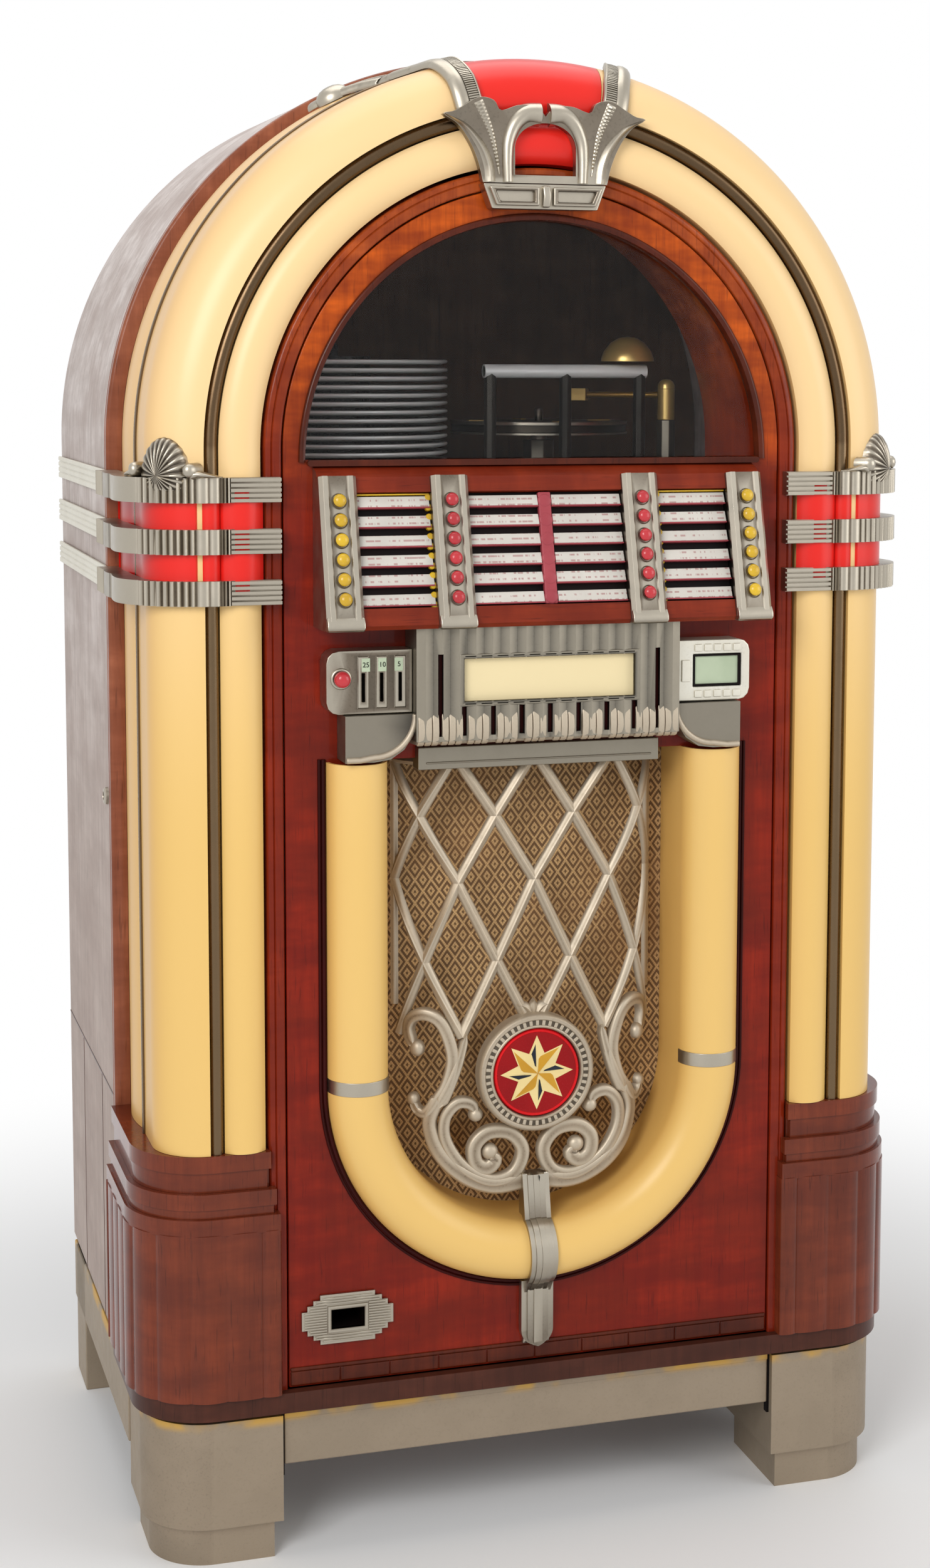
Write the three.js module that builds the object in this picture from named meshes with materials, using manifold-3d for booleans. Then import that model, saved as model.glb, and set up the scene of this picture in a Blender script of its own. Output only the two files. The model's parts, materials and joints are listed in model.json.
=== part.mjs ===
// An arch-topped floor jukebox: wooden cabinet, lit plastic pilasters, nickel castings, hinged front door.
// Millimetres, +Z up, the front faces -Y. Inside the cabinet group, y = 0 is the front face of the door.
import * as THREE from 'three';
import { mergeVertices } from 'three/addons/utils/BufferGeometryUtils.js';
import Module from 'manifold-3d';

const wasm = await Module();
wasm.setup();

// Overall sizes
const height = 1511;
const depth = 640;
const cabinetWidth = 800;
const pilasterWidth = 143;
const gap = 0.3;
const cut = 5;
const cabinetHalf = cabinetWidth / 2;
const archZ = height - cabinetHalf;
const doorHalf = cabinetHalf - pilasterWidth;

// Wooden cabinet
const woodThickness = 16;
const woodBottom = 155;
const woodFront = 190;
const boardThickness = 18;
const shelfDrop = 99;
const shelfSetback = 8;
const shelfRearClear = 40.3;
const lockHeight = 746;
const lockInset = 34;
const lockRadius = 7;
const lockReach = 4;
const innerHalf = cabinetHalf - woodThickness;
const shelfTop = archZ - shelfDrop;

// Face frame: the dark ring round the door, the frame board behind it and the plinth board under it
const ringClear = 1.6;
const ringWidth = 17.4;
const ringFront = -2;
const frameBoard = 18;
const plinthTop = 175.5;
const plinthInset = 5;
const ringInner = doorHalf + ringClear;
const ringOuter = ringInner + ringWidth;

// Pilaster base blocks
const baseTop = 424;
const baseClear = 1;
const baseOverhang = 11;
const baseCorner = 80;
const baseFront = -16;
const baseBlockTop = 345;
const baseStep = 12.5;
const baseStepInset = 2.8;
const baseStepCount = 5;
const reedRise = 3;
const baseInner = ringOuter + baseClear;
const baseHalf = cabinetHalf + baseOverhang;

// Pilaster plastics, in plan
const plasticWall = 4;
const innerBulgeRise = 9.5;
const innerBulgeCrest = -12;
const bulgeEdge = 3.5;
const bulgeClear = 1.1;
const tubeInset = 72.2;
const tubeY = 0;
const tubeRadius = 6.8;
const cornerRadius = 50;
const cornerInset = 65;
const cornerY = 42;
const railY = 84;
const railWidth = 8;
const railDepth = 3;
const sideBulgeRise = 7.5;
const sideInset = 18.5;
const keyHalfAngle = 10.2;
const plasticBottom = baseTop + gap;
const tubeX = cabinetHalf - tubeInset;
const cornerX = cabinetHalf - cornerInset;
const sideBulgeX = cabinetHalf - sideInset;
const innerBulgeStart = ringOuter + bulgeEdge;
const innerBulgeHalf = (tubeX - tubeRadius - bulgeClear - innerBulgeStart) / 2;
const innerBulgeX = innerBulgeStart + innerBulgeHalf;

// Cast bands round the pilasters
const bandHeight = 24;
const bandDrop = 23.5;
const bandPitch = 49.2;
const bandCount = 3;
const bandLap = 3.4;
const bandPadWidth = 24;
const bandPadFront = -18;
const bandFront = -15;
const bandCorner = 79;
const bandOverhang = 10;
const stripReach = 3.2;
const fanRadius = 24;
const fanThickness = 16;
const sleeveWall = 3;
const sleeveClear = 0.8;
const bandTop = archZ - bandDrop;
const bandInner = ringInner + bandLap;
const bandPadEnd = ringOuter + bandPadWidth;
const bandHalf = cabinetHalf + bandOverhang;

// Casting over the crown of the arch, and the bar below it that the door carries
const keyDrop = 166;
const keyBarHeight = 25;
const keyHalf = 103;
const keyHeight = 105;
const keyBarHalfShares = [0.524, 0.612];
const keyOutlineShares = [
  [0.615, 0.24], [0.7, 0.49], [0.835, 0.72], [1, 0.85], [0.82, 0.895], [0.68, 1],
  [0.5, 1], [0.43, 0.87], [0.35, 0.92], [0.2, 0.955], [0.05, 0.905], [0, 0.84],
];
const keyFront = -26;
const keyWindowHalf = 31;
const keyWindowFoot = 33;
const keyWindowShoulder = 59;
const keyWindowCrown = 83;
const keyBottom = height - keyDrop;
const keyBarTop = keyBottom + keyBarHeight;
const ribThickness = 6.5;
const ribCrest = 2;
const ribHalf = 14;
// Each station of a rib: place along the plastics' section, angle from the crown and half width
const ribStationShares = [
  [0, 0.22, 1], [0.14, 0.22, 1], [0.3, 0.235, 1], [0.44, 0.265, 0.95], [0.55, 0.31, 0.95],
  [0.66, 0.37, 1], [0.76, 0.44, 1.1], [0.84, 0.5, 1],
];

// Feet and base rails
const footTop = 149.5;
const footInset = 13;
const toeHeight = 40;
const toeInset = 8;
const footLength = 136;
const footBack = 128;
const apronClear = 2;
const apronFront = 4;
const apronThickness = 14;
const apronBottom = 95.5;
const railBottom = 84;
const rearFootLength = 90;
const rearFootInset = 16;
const footInner = cabinetHalf - footLength;
const apronHalf = footInner - apronClear;

// Front door
const doorClear = 1;
const doorThickness = 22;
const windowBorder = 20;
const windowDrop = 10;
const sillRise = 2;
const glassThickness = 5;
const glassLap = 6;
const rabbetDepth = 9;
const doorBottom = plinthTop + doorClear;
const windowRadius = doorHalf - windowBorder;
const windowZ = archZ - windowDrop;
const windowSill = windowZ + sillRise;

// Selector housing and its tilted face
const selectorInset = 29;
const selectorDrop = 24;
const selectorTopY = -20;
const selectorHeight = 141;
const selectorBottomY = -56;
const housingLip = 4.5;
const ribWidth = 37;
const ribRise = 8;
const bridgeBack = 8;
const boreDepth = 14;
const ribShares = [-1, -0.468, 0.468, 1];
const buttonRows = 6;
const buttonPitch = 19.2;
const buttonRadius = 6.4;
const stemRadius = 4.2;
const stemClear = 0.5;
const buttonRise = 7;
const buttonTravel = 4;
const rackTopRail = 15;
const rackBottomRail = 17;
const rackClear = 1;
const rackPlate = 3;
const stripFace = 12.5;
const stripFront = 2;
const stripLean = 3;
const selectorHalf = doorHalf - selectorInset;
const selectorTop = archZ - selectorDrop;
const selectorBottom = selectorTop - selectorHeight;
const housingBase = selectorBottom - housingLip;

// Nameplate casting, coin entry and selection sign
const plateHeight = 111.2;
const plateFront = -46;
const pleatCount = 16;
const pleatDepth = 2.4;
const plateCurl = 12;
const plateMargin = 48;
const panelDrop = 30.7;
const panelHeight = 42;
const panelThickness = 3;
const wingLap = 2;
const wingReach = 19;
const wingRise = 27;
const wingDrop = 19;
const wingFront = -36;
const wallThickness = 4;
const slotWidth = 5;
const shortSlots = 7;
const boxInset = 6;
const boxWidth = 86;
const boxDrop = 21.2;
const boxClear = 1;
const boxFront = -30;
const boxCorner = 12;
const coinSlots = 3;
const coinSlotWidth = 3.2;
const coinSlotHeight = 28;
const rejectRadius = 8;
const rejectTravel = 5;
const rejectDomeShares = [[0, 1], [0.7, 0.8], [1, 0.3], [1, 0]];
const signPanelHalf = 26;
const signPanelHeight = 33;
const boxOuter = selectorHalf - boxInset;
const plateHalf = boxOuter - boxWidth;
const plateTop = housingBase - gap;
const plateBottom = plateTop - plateHeight;
const panelHalf = plateHalf - plateMargin;
const panelTop = plateTop - panelDrop;
const panelBottom = panelTop - panelHeight;
const wingInner = plateHalf - wingLap;
const wingTop = plateBottom + wingRise;
const wingBottom = plateBottom - wingDrop;
const boxTop = plateTop - boxDrop;
const boxBottom = wingTop + boxClear;

// Tube round the grille, and the grille well
const tubeMargin = 71;
const tubeFoot = 265;
const tubeHalf = 30;
const tubeWall = 3.5;
const strapHeight = 14;
const strapRise = 1.2;
const beadWidth = 6;
const beadRise = 4;
const wellWall = 9;
const wellDepth = 60;
const tubeMid = doorHalf - tubeMargin;
const tubeBendZ = tubeFoot + tubeHalf + tubeMid;
const tubeTop = wingBottom - gap;
const wingOuter = tubeMid + wingReach;
const wellHalf = tubeMid - tubeHalf;
const wellFoot = tubeFoot + 2 * tubeHalf;

// Lattice grille
const grilleY = 3;
const grilleSide = 81;
const grilleBend = 67;
const grilleBendShare = 1.27;
const barWidth = 8;
const barRise = 7;
const cellLap = 7.91;
const cellTaper = 5;
const latticeDrop = 3;
const latticeRise = 122;
const latticeRowShares = [0, 0.175, 0.36, 0.587, 0.798];
const latticeEdge = 4;
const headerRise = 12;
const headerDrop = 11;
const headerInset = 30;
const headerFront = -12;
const scrollInset = 16;
const scrollRaise = 30;
const scrollHeight = 190;
// Centre lines of the cast scrolls on the right-hand side
const outerScrollShares = [
  [0.9, 0.8], [0.957, 0.845], [0.979, 0.91], [0.93, 0.968], [0.829, 0.989], [0.721, 0.958],
  [0.65, 0.868], [0.614, 0.737], [0.664, 0.595], [0.764, 0.479], [0.793, 0.374], [0.707, 0.226],
  [0.5, 0.095], [0.271, 0.037], [-0.02, 0.068],
];
const curlShares = [[0.936, 0.52], [0.9, 0.468], [0.836, 0.45], [0.779, 0.489], [0.73, 0.55]];
const innerScrollShares = [
  [0.436, 0.437], [0.471, 0.495], [0.579, 0.505], [0.671, 0.426], [0.664, 0.3], [0.529, 0.153],
  [0.329, 0.068], [0.15, 0.095], [0.079, 0.216], [0.171, 0.316], [0.336, 0.332], [0.443, 0.268],
  [0.436, 0.174], [0.357, 0.137], [0.293, 0.174], [0.329, 0.226],
];
const stemShares = [[0.514, 0.879], [0.564, 0.737], [0.643, 0.595], [0.721, 0.489]];
const crestShares = [[-0.36, -0.06], [0, 0.14], [0.36, -0.06]];
const scrollWidth = 11;
const scrollRise = 9;
const medallionRaise = 155;
const medallionRadius = 45.5;
const medallionRim = 61;
const medallionRise = 9;
const clipHalf = 14;
const clipFoot = 19;
const clipRaise = 49;
const clipDrop = 70;
const clipThickness = 5;
const grilleFlat = wellHalf - grilleSide;
const grilleReach = grilleFlat + grilleBend * grilleBendShare;
const cellTop = (grilleReach + cellLap) / latticeEdge;
const latticeTop = wingBottom - latticeDrop;
const latticeBottom = wellFoot + latticeRise;
const headerTop = latticeTop + headerRise;
const headerBottom = latticeTop - headerDrop;
const headerHalf = wellHalf - headerInset;
const scrollHalf = wellHalf - scrollInset;
const scrollBottom = wellFoot + scrollRaise;
const medallionZ = wellFoot + medallionRaise;
const clipTop = wellFoot + clipRaise;
const clipBottom = tubeFoot - clipDrop;

// Coin return plate and cup
const returnOut = 11.5;
const returnZ = 244;
const returnHalf = 47;
const returnHeight = 51;
const returnMouth = 34;
const returnMouthHeight = 20;
const returnThickness = 5;
const cupWall = 2;
const cupDepth = 46;
const returnX = -tubeMid - returnOut;

// Speaker board
const speakerRadius = 128;
const speakerZ = 600;
const speakerDepth = 80;
const magnetRadius = 52;
const clothBoard = 12;

// Record changer
const discRadius = 127;
const discCount = 7;
const discPitch = 18;
const discThickness = 6;
const stackRingClear = 2.6;
const stackRearClear = 88.3;
const spindleRadius = 6;
const deckThickness = 10;
const deckSideClear = 4;
const deckSetback = 10;
const deckRearClear = 60.3;
const deckRingClear = 8.6;
const platterRadius = 100;
const platterThickness = 14;
const platterClear = 12;
const platterRise = 106;
const shaftRadius = 9;
const armSide = 122;
const armForward = 85;
const armRise = 150;
const postRadius = 7;
const railRise = 176;

// Rear door
const rearThickness = 15;
const rearGap = 0.8;
const ventCount = 7;
const ventHeight = 12;
const ventPitch = 34;
const ventHalf = 150;
const ventTop = 760;

// Sizes that follow from the ones above
const degree = Math.PI / 180;
const archSteps = 10;
const weld = 1e-4;
const selectorSlope = Math.atan2(selectorTopY - selectorBottomY, selectorTop - selectorBottom);
const selectorLength = Math.hypot(selectorTopY - selectorBottomY, selectorTop - selectorBottom);
const firstRow = (selectorLength - (buttonRows - 1) * buttonPitch) / 2;
const lastRow = selectorLength - firstRow;
const domeShares = [[0, 1], [0.75, 0.8], [1, 0.55]];
const frontReach = -selectorTopY + Math.max(...domeShares.map(([across, out]) =>
  (lastRow + across * buttonRadius) * Math.sin(selectorSlope)
  + (ribRise + gap + out * buttonRise) * Math.cos(selectorSlope)));
const woodRear = depth - frontReach;
const shelfFront = woodFront + frameBoard + shelfSetback;
const shelfBack = woodRear - rearThickness - shelfRearClear;
const deckHalf = innerHalf - deckSideClear;
const deckFront = woodFront + frameBoard + deckSetback;
const deckBack = woodRear - rearThickness - deckRearClear;
const stackX = -(ringInner - discRadius - stackRingClear);
const stackY = woodRear - rearThickness - stackRearClear - discRadius;
const turntableX = stackX + discRadius + platterClear + platterRadius;
const turntableY = stackY;
const turntableZ = shelfTop + platterRise;
const armPivotX = turntableX + armSide;
const armPivotY = turntableY - armForward;
const armHeight = shelfTop + armRise;
const railHeight = shelfTop + railRise;

const cabinet = new THREE.Group();
cabinet.position.y = frontReach - depth / 2;

function finish(color, roughness, metalness = 0) {
  return new THREE.MeshStandardMaterial({ color, roughness, metalness });
}

const mahogany = finish(0x8b3018, 0.3);
const darkWood = finish(0x5a1d12, 0.35);
const sideWood = finish(0x9a8a82, 0.5);
const creamPlastic = finish(0xf2d58a, 0.3);
const redPlastic = finish(0xe5261f, 0.3);
const nickel = finish(0xa9a294, 0.32, 1);
const dullNickel = finish(0x9a8e7c, 0.5, 0.9);
const bronze = finish(0x4a3420, 0.35, 0.6);
const darkGlass = finish(0x1a1a1e, 0.08);
const yellowPlastic = finish(0xe8c832, 0.35);
const paper = finish(0xe9e4d6, 0.7);
const cloth = finish(0xa98350, 0.9);
const steel = finish(0x8b9096, 0.35, 1);
const brass = finish(0xb08a3c, 0.3, 1);
const blackShellac = finish(0x17181a, 0.3);
const paleGreen = finish(0xc4d6a8, 0.4);

// Geometry helpers

// The same surface with its shared vertices merged and its flat triangles dropped.
function weldedGeometry(geometry) {
  const bare = new THREE.BufferGeometry();
  bare.setAttribute('position', geometry.getAttribute('position'));
  bare.setIndex(geometry.getIndex());
  const welded = mergeVertices(bare, weld);
  const index = Array.from(welded.getIndex().array);
  const kept = [];
  for (let i = 0; i < index.length; i += 3) {
    const [a, b, c] = index.slice(i, i + 3);
    if (a !== b && b !== c && c !== a) kept.push(a, b, c);
  }
  welded.setIndex(kept);
  return welded;
}

function solidOf(geometry) {
  const welded = weldedGeometry(geometry);
  return new wasm.Manifold(new wasm.Mesh({
    numProp: 3,
    vertProperties: new Float32Array(welded.getAttribute('position').array),
    triVerts: new Uint32Array(welded.getIndex().array),
  }));
}

function geometryOf(solid) {
  const mesh = solid.getMesh();
  const geometry = new THREE.BufferGeometry();
  geometry.setAttribute('position', new THREE.BufferAttribute(mesh.vertProperties, 3));
  geometry.setIndex(new THREE.BufferAttribute(mesh.triVerts, 1));
  geometry.computeVertexNormals();
  return geometry;
}

function join(...solids) {
  return solids.reduce((whole, next) => whole.add(next));
}

function place(name, shape, material, parent = cabinet) {
  const geometry = shape instanceof wasm.Manifold ? geometryOf(shape) : shape;
  const mesh = new THREE.Mesh(geometry, material);
  mesh.name = name;
  parent.add(mesh);
  return mesh;
}

// An arc of points from one angle to another, both ends kept.
function arc(x, y, radius, from, to, steps) {
  return Array.from({ length: steps + 1 }, (_, i) => {
    const angle = from + (to - from) * i / steps;
    return [x + radius * Math.cos(angle), y + radius * Math.sin(angle)];
  });
}

function extrudeOutline(outline, length, holes = []) {
  const shape = new THREE.Shape(outline.map(([a, b]) => new THREE.Vector2(a, b)));
  shape.holes = holes.map((hole) => new THREE.Path(hole.map(([a, b]) => new THREE.Vector2(a, b))));
  return new THREE.ExtrudeGeometry(shape, { depth: length, bevelEnabled: false, steps: 1 });
}

const frontBasis = new THREE.Matrix4().makeBasis(
  new THREE.Vector3(1, 0, 0), new THREE.Vector3(0, 0, 1), new THREE.Vector3(0, -1, 0));
const sideBasis = new THREE.Matrix4().makeBasis(
  new THREE.Vector3(0, 1, 0), new THREE.Vector3(0, 0, 1), new THREE.Vector3(1, 0, 0));

// A front outline of [x, z] points, run from one y to another.
function slab(outline, fromY, toY, holes = []) {
  const geometry = extrudeOutline(outline, toY - fromY, holes).applyMatrix4(frontBasis);
  return solidOf(geometry.translate(0, toY, 0));
}

// A plan outline of [x, y] points, run from one height to another.
function column(outline, bottom, top, holes = []) {
  return solidOf(extrudeOutline(outline, top - bottom, holes).translate(0, 0, bottom));
}

// A side outline of [y, z] points, run from one x to another.
function beam(outline, fromX, toX) {
  const geometry = extrudeOutline(outline, toX - fromX).applyMatrix4(sideBasis);
  return solidOf(geometry.translate(fromX, 0, 0));
}

function box(fromX, toX, fromY, toY, fromZ, toZ) {
  const geometry = new THREE.BoxGeometry(toX - fromX, toY - fromY, toZ - fromZ);
  return solidOf(geometry.translate((fromX + toX) / 2, (fromY + toY) / 2, (fromZ + toZ) / 2));
}

// A turned solid about a vertical axis; the profile of [radius, z] points starts and ends on the axis.
function turned(profile, x, y, sides) {
  const points = profile.map(([radius, z]) => new THREE.Vector2(radius, z));
  const geometry = new THREE.LatheGeometry(points, sides).rotateX(Math.PI / 2).translate(x, y, 0);
  return solidOf(outward(weldedGeometry(geometry)));
}

// A turned solid about an axis along Y; the profile holds [radius, y] points.
function turnedAlongY(profile, x, z, sides) {
  const points = profile.map(([radius, y]) => new THREE.Vector2(radius, y));
  return solidOf(outward(weldedGeometry(new THREE.LatheGeometry(points, sides).translate(x, 0, z))));
}

// A closed skin through rings of points, with flat ends cut from the section's outline.
function loft(rings, section) {
  const count = section.length;
  const positions = rings.flat(2);
  const index = [];
  for (let ring = 0; ring < rings.length - 1; ring += 1) {
    for (let i = 0; i < count; i += 1) {
      const a = ring * count + i;
      const b = ring * count + (i + 1) % count;
      index.push(a, b, b + count, a, b + count, a + count);
    }
  }
  const caps = THREE.ShapeUtils.triangulateShape(section.map(([a, b]) => new THREE.Vector2(a, b)), []);
  const turn = THREE.ShapeUtils.area(section.map(([a, b]) => new THREE.Vector2(a, b))) > 0;
  const last = (rings.length - 1) * count;
  for (const [a, b, c] of caps) {
    const [first, second, third] = turn ? [a, c, b] : [a, b, c];
    index.push(first, second, third);
    index.push(last + first, last + third, last + second);
  }
  const geometry = new THREE.BufferGeometry();
  geometry.setAttribute('position', new THREE.Float32BufferAttribute(positions, 3));
  geometry.setIndex(index);
  return outward(geometry);
}

// The same geometry with its faces pointing out, judged by its signed volume.
function outward(geometry) {
  const at = geometry.getAttribute('position');
  const index = Array.from(geometry.getIndex().array);
  const [a, b, c] = [new THREE.Vector3(), new THREE.Vector3(), new THREE.Vector3()];
  let volume = 0;
  for (let i = 0; i < index.length; i += 3) {
    a.fromBufferAttribute(at, index[i]);
    b.fromBufferAttribute(at, index[i + 1]);
    c.fromBufferAttribute(at, index[i + 2]);
    volume += a.dot(b.cross(c));
  }
  if (volume < 0) geometry.setIndex(index.reverse());
  return geometry;
}

function archOutline(half, bottom, centreZ = archZ, steps = 2 * archSteps) {
  return [[half, bottom], ...arc(0, centreZ, half, 0, Math.PI, steps), [-half, bottom]];
}

// A thin wall drawn inwards from an open line of points: the line, then its offset back again.
function shellSection(line, wall) {
  const back = line.map(([x, y], i) => {
    const [ax, ay] = line[Math.max(i - 1, 0)];
    const [bx, by] = line[Math.min(i + 1, line.length - 1)];
    const length = Math.hypot(bx - ax, by - ay);
    return [x - wall * (by - ay) / length, y + wall * (bx - ax) / length];
  });
  return [...line, ...back.reverse()];
}

// Pilaster sections, drawn on the right-hand side in plan

const innerBulgeRadius = (innerBulgeHalf ** 2 + innerBulgeRise ** 2) / (2 * innerBulgeRise);
const innerBulgeAngle = Math.asin(innerBulgeHalf / innerBulgeRadius);
const sideBulgeHalf = (woodFront - gap - railY - railWidth) / 2;
const sideBulgeRadius = (sideBulgeHalf ** 2 + sideBulgeRise ** 2) / (2 * sideBulgeRise);
const sideBulgeAngle = Math.asin(sideBulgeHalf / sideBulgeRadius);
const bulgeCentreY = innerBulgeCrest + innerBulgeRadius;
const grooveDepth = 24;

function innerBulge(offset = 0, steps = 4) {
  const [reach, middle] = [innerBulgeRadius + offset, -Math.PI / 2];
  return arc(innerBulgeX, bulgeCentreY, reach, middle - innerBulgeAngle, middle + innerBulgeAngle, steps);
}

function cornerBulge(offset = 0, steps = 5) {
  return arc(cornerX, cornerY, cornerRadius + offset, -Math.PI / 2, 0, steps);
}

function sideBulge(offset = 0, steps = 3) {
  const middle = railY + railWidth + sideBulgeHalf;
  const reach = sideBulgeRadius + offset;
  const centre = sideBulgeX + sideBulgeRise - sideBulgeRadius;
  return arc(centre, middle, reach, -sideBulgeAngle, sideBulgeAngle, steps);
}

function outerPlasticSection() {
  const cheek = cornerX + cornerRadius;
  const line = [
    [cornerX, grooveDepth],
    ...cornerBulge(),
    [cheek, railY],
    [cheek - railDepth, railY],
    ...sideBulge(),
  ];
  return shellSection(line, plasticWall);
}

function innerPlasticSection() {
  const face = innerBulge();
  const line = [[face[0][0], grooveDepth], ...face, [face[face.length - 1][0], grooveDepth]];
  return shellSection(line, plasticWall);
}

// Runs a section up one side of the cabinet and round the arch to an angle above the springing.
function alongArch(section, side, bottom, endAngle, steps = archSteps) {
  const rings = [section.map(([x, y]) => [side * x, y, bottom])];
  for (let i = 0; i <= steps; i += 1) {
    const angle = endAngle * i / steps;
    rings.push(section.map(([x, y]) => [side * x * Math.cos(angle), y, archZ + x * Math.sin(angle)]));
  }
  return loft(rings, section);
}

// Cabinet pieces

function cabinetShell() {
  const tunnel = slab(archOutline(cabinetHalf, woodBottom), woodFront, woodRear, [
    [...archOutline(innerHalf, woodBottom + boardThickness)].reverse(),
  ]);
  const reach = innerHalf + cut;
  const shelf = box(-reach, reach, shelfFront, shelfBack, shelfTop - boardThickness, shelfTop);
  const lock = solidOf(new THREE.CylinderGeometry(lockRadius, lockRadius, lockReach + cut, 12)
    .rotateZ(Math.PI / 2)
    .translate(-cabinetHalf - (lockReach - cut) / 2, woodFront + lockInset, lockHeight));
  return join(tunnel, shelf, lock);
}

function basePlan(inset, inner, back, reeds = false) {
  return cornerPlan(baseHalf - inset, baseFront + inset, baseCorner - inset, inner, back, reeds);
}

// Plan of a block at the right-hand front corner, from its inner end round to its back.
function cornerPlan(half, front, corner, inner, back, reeds = false) {
  const cornerCentre = half - corner;
  const curve = [[inner, front], [cornerCentre, front]]
    .concat(arc(cornerCentre, front + corner, corner, -Math.PI / 2, 0, 4).slice(1));
  const face = reeds ? reeded(curve) : curve;
  return [[inner, back], ...face, [half, back]];
}

// Raises the middle of each span of a line, so that the wall is a row of convex reeds.
function reeded(line) {
  const widest = cornerRadius;
  return line.flatMap(([x, y], i) => {
    if (i === line.length - 1) return [[x, y]];
    const [nextX, nextY] = line[i + 1];
    const length = Math.hypot(nextX - x, nextY - y);
    const spans = Math.max(1, Math.round(length / widest));
    return Array.from({ length: spans }, (_, k) => {
      const from = k / spans;
      const middle = (k + 0.5) / spans;
      const [dx, dy] = [nextX - x, nextY - y];
      return [
        [x + dx * from, y + dy * from],
        [x + dx * middle + reedRise * dy / length, y + dy * middle - reedRise * dx / length],
      ];
    }).flat();
  });
}

function mirrored(outline, side) {
  return side > 0 ? outline : outline.map(([x, y]) => [-x, y]).reverse();
}

function faceFrame() {
  const back = woodFront + frameBoard;
  const board = slab(archOutline(innerHalf - gap, woodBottom + boardThickness + gap), woodFront, back, [
    [...archOutline(ringInner, plinthTop)].reverse(),
  ]);
  const ring = slab(archOutline(ringOuter, woodBottom + boardThickness + gap), ringFront, back, [
    [...archOutline(ringInner, plinthTop)].reverse(),
  ]);
  const half = basePlan(plinthInset, 0, woodFront - gap).slice(2);
  const plinth = column([...mirrored(half, -1), ...half], woodBottom, plinthTop);
  return join(board, ring, plinth);
}

function pilasterBase(side) {
  const back = woodFront - gap;
  const block = mirrored(basePlan(reedRise, baseInner, back, true), side);
  const levels = [column(block, plinthTop + gap, baseBlockTop)];
  for (let i = 0; i < baseStepCount; i += 1) {
    const from = baseBlockTop + baseStep * i;
    const to = i === baseStepCount - 1 ? baseTop : from + baseStep;
    levels.push(column(mirrored(basePlan(baseStepInset * (i + 1), baseInner, back), side), from, to));
  }
  return join(...levels);
}

function frontFoot(side) {
  const upper = basePlan(footInset, footInner, footBack);
  const toe = basePlan(footInset + toeInset, footInner + toeInset, footBack - toeInset);
  return join(
    column(mirrored(upper, side), toeHeight, footTop),
    column(mirrored(toe, side), 0, toeHeight),
  );
}

function baseRails() {
  const frameTop = woodBottom - gap;
  const frameBottom = footTop + gap;
  const setBack = apronFront + apronThickness / 2;
  const half = baseHalf - footInset;
  const rear = woodRear - apronThickness;
  const lip = frameTop - cut / 2;
  const outside = [[-half, setBack], [half, setBack], [half, rear], [-half, rear]];
  const frame = column(outside, frameBottom, frameTop, [[
    [-apronHalf, setBack + apronThickness],
    [-apronHalf, rear - rearFootLength],
    [apronHalf, rear - rearFootLength],
    [apronHalf, setBack + apronThickness],
  ]]);
  const apron = join(
    box(-apronHalf, apronHalf, apronFront, apronFront + apronThickness, apronBottom, footTop),
    box(-apronHalf, apronHalf, setBack, apronFront + apronThickness, apronBottom, lip),
  );
  const sides = [-1, 1].map((side) => {
    const [near, far] = [side * (half - apronThickness), side * half].sort((a, b) => a - b);
    const [footNear, footFar] = [side * (half - rearFootLength), side * half].sort((a, b) => a - b);
    return join(
      box(near, far, footBack + 2 * gap, rear, railBottom, lip),
      box(footNear, footFar, rear - rearFootLength, rear - rearFootInset, 0, lip),
    );
  });
  return join(frame, apron, ...sides);
}

// Plan line over the pilaster's mouldings at a clearance, from the ring to the side of the cabinet.
function sleeveLine(offset) {
  const side = sideBulgeX + sideBulgeRise + offset;
  return [
    ...innerBulge(offset, 4).slice(0, -1),
    ...arc(tubeX, tubeY, tubeRadius + offset, -0.7 * Math.PI, -0.33 * Math.PI, 2),
    ...cornerBulge(offset),
    [side, railY],
    [side, woodFront - gap],
  ];
}

function fan(side) {
  const tips = 9;
  const outline = Array.from({ length: 2 * tips + 1 }, (_, i) => {
    const angle = Math.PI * i / (2 * tips);
    const reach = i % 2 === 0 ? 0.93 : 1;
    return [fanRadius * reach * Math.cos(angle), 1.5 * fanRadius * reach * Math.sin(angle)];
  });
  const near = cornerRadius + sleeveClear + sleeveWall / 2;
  const geometry = extrudeOutline([...outline, [-fanRadius, -cut], [fanRadius, -cut]], fanThickness)
    .applyMatrix4(frontBasis)
    .translate(0, -near, bandTop)
    .rotateZ(side * Math.PI / 4)
    .translate(side * cornerX, cornerY, 0);
  return solidOf(geometry);
}

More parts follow.
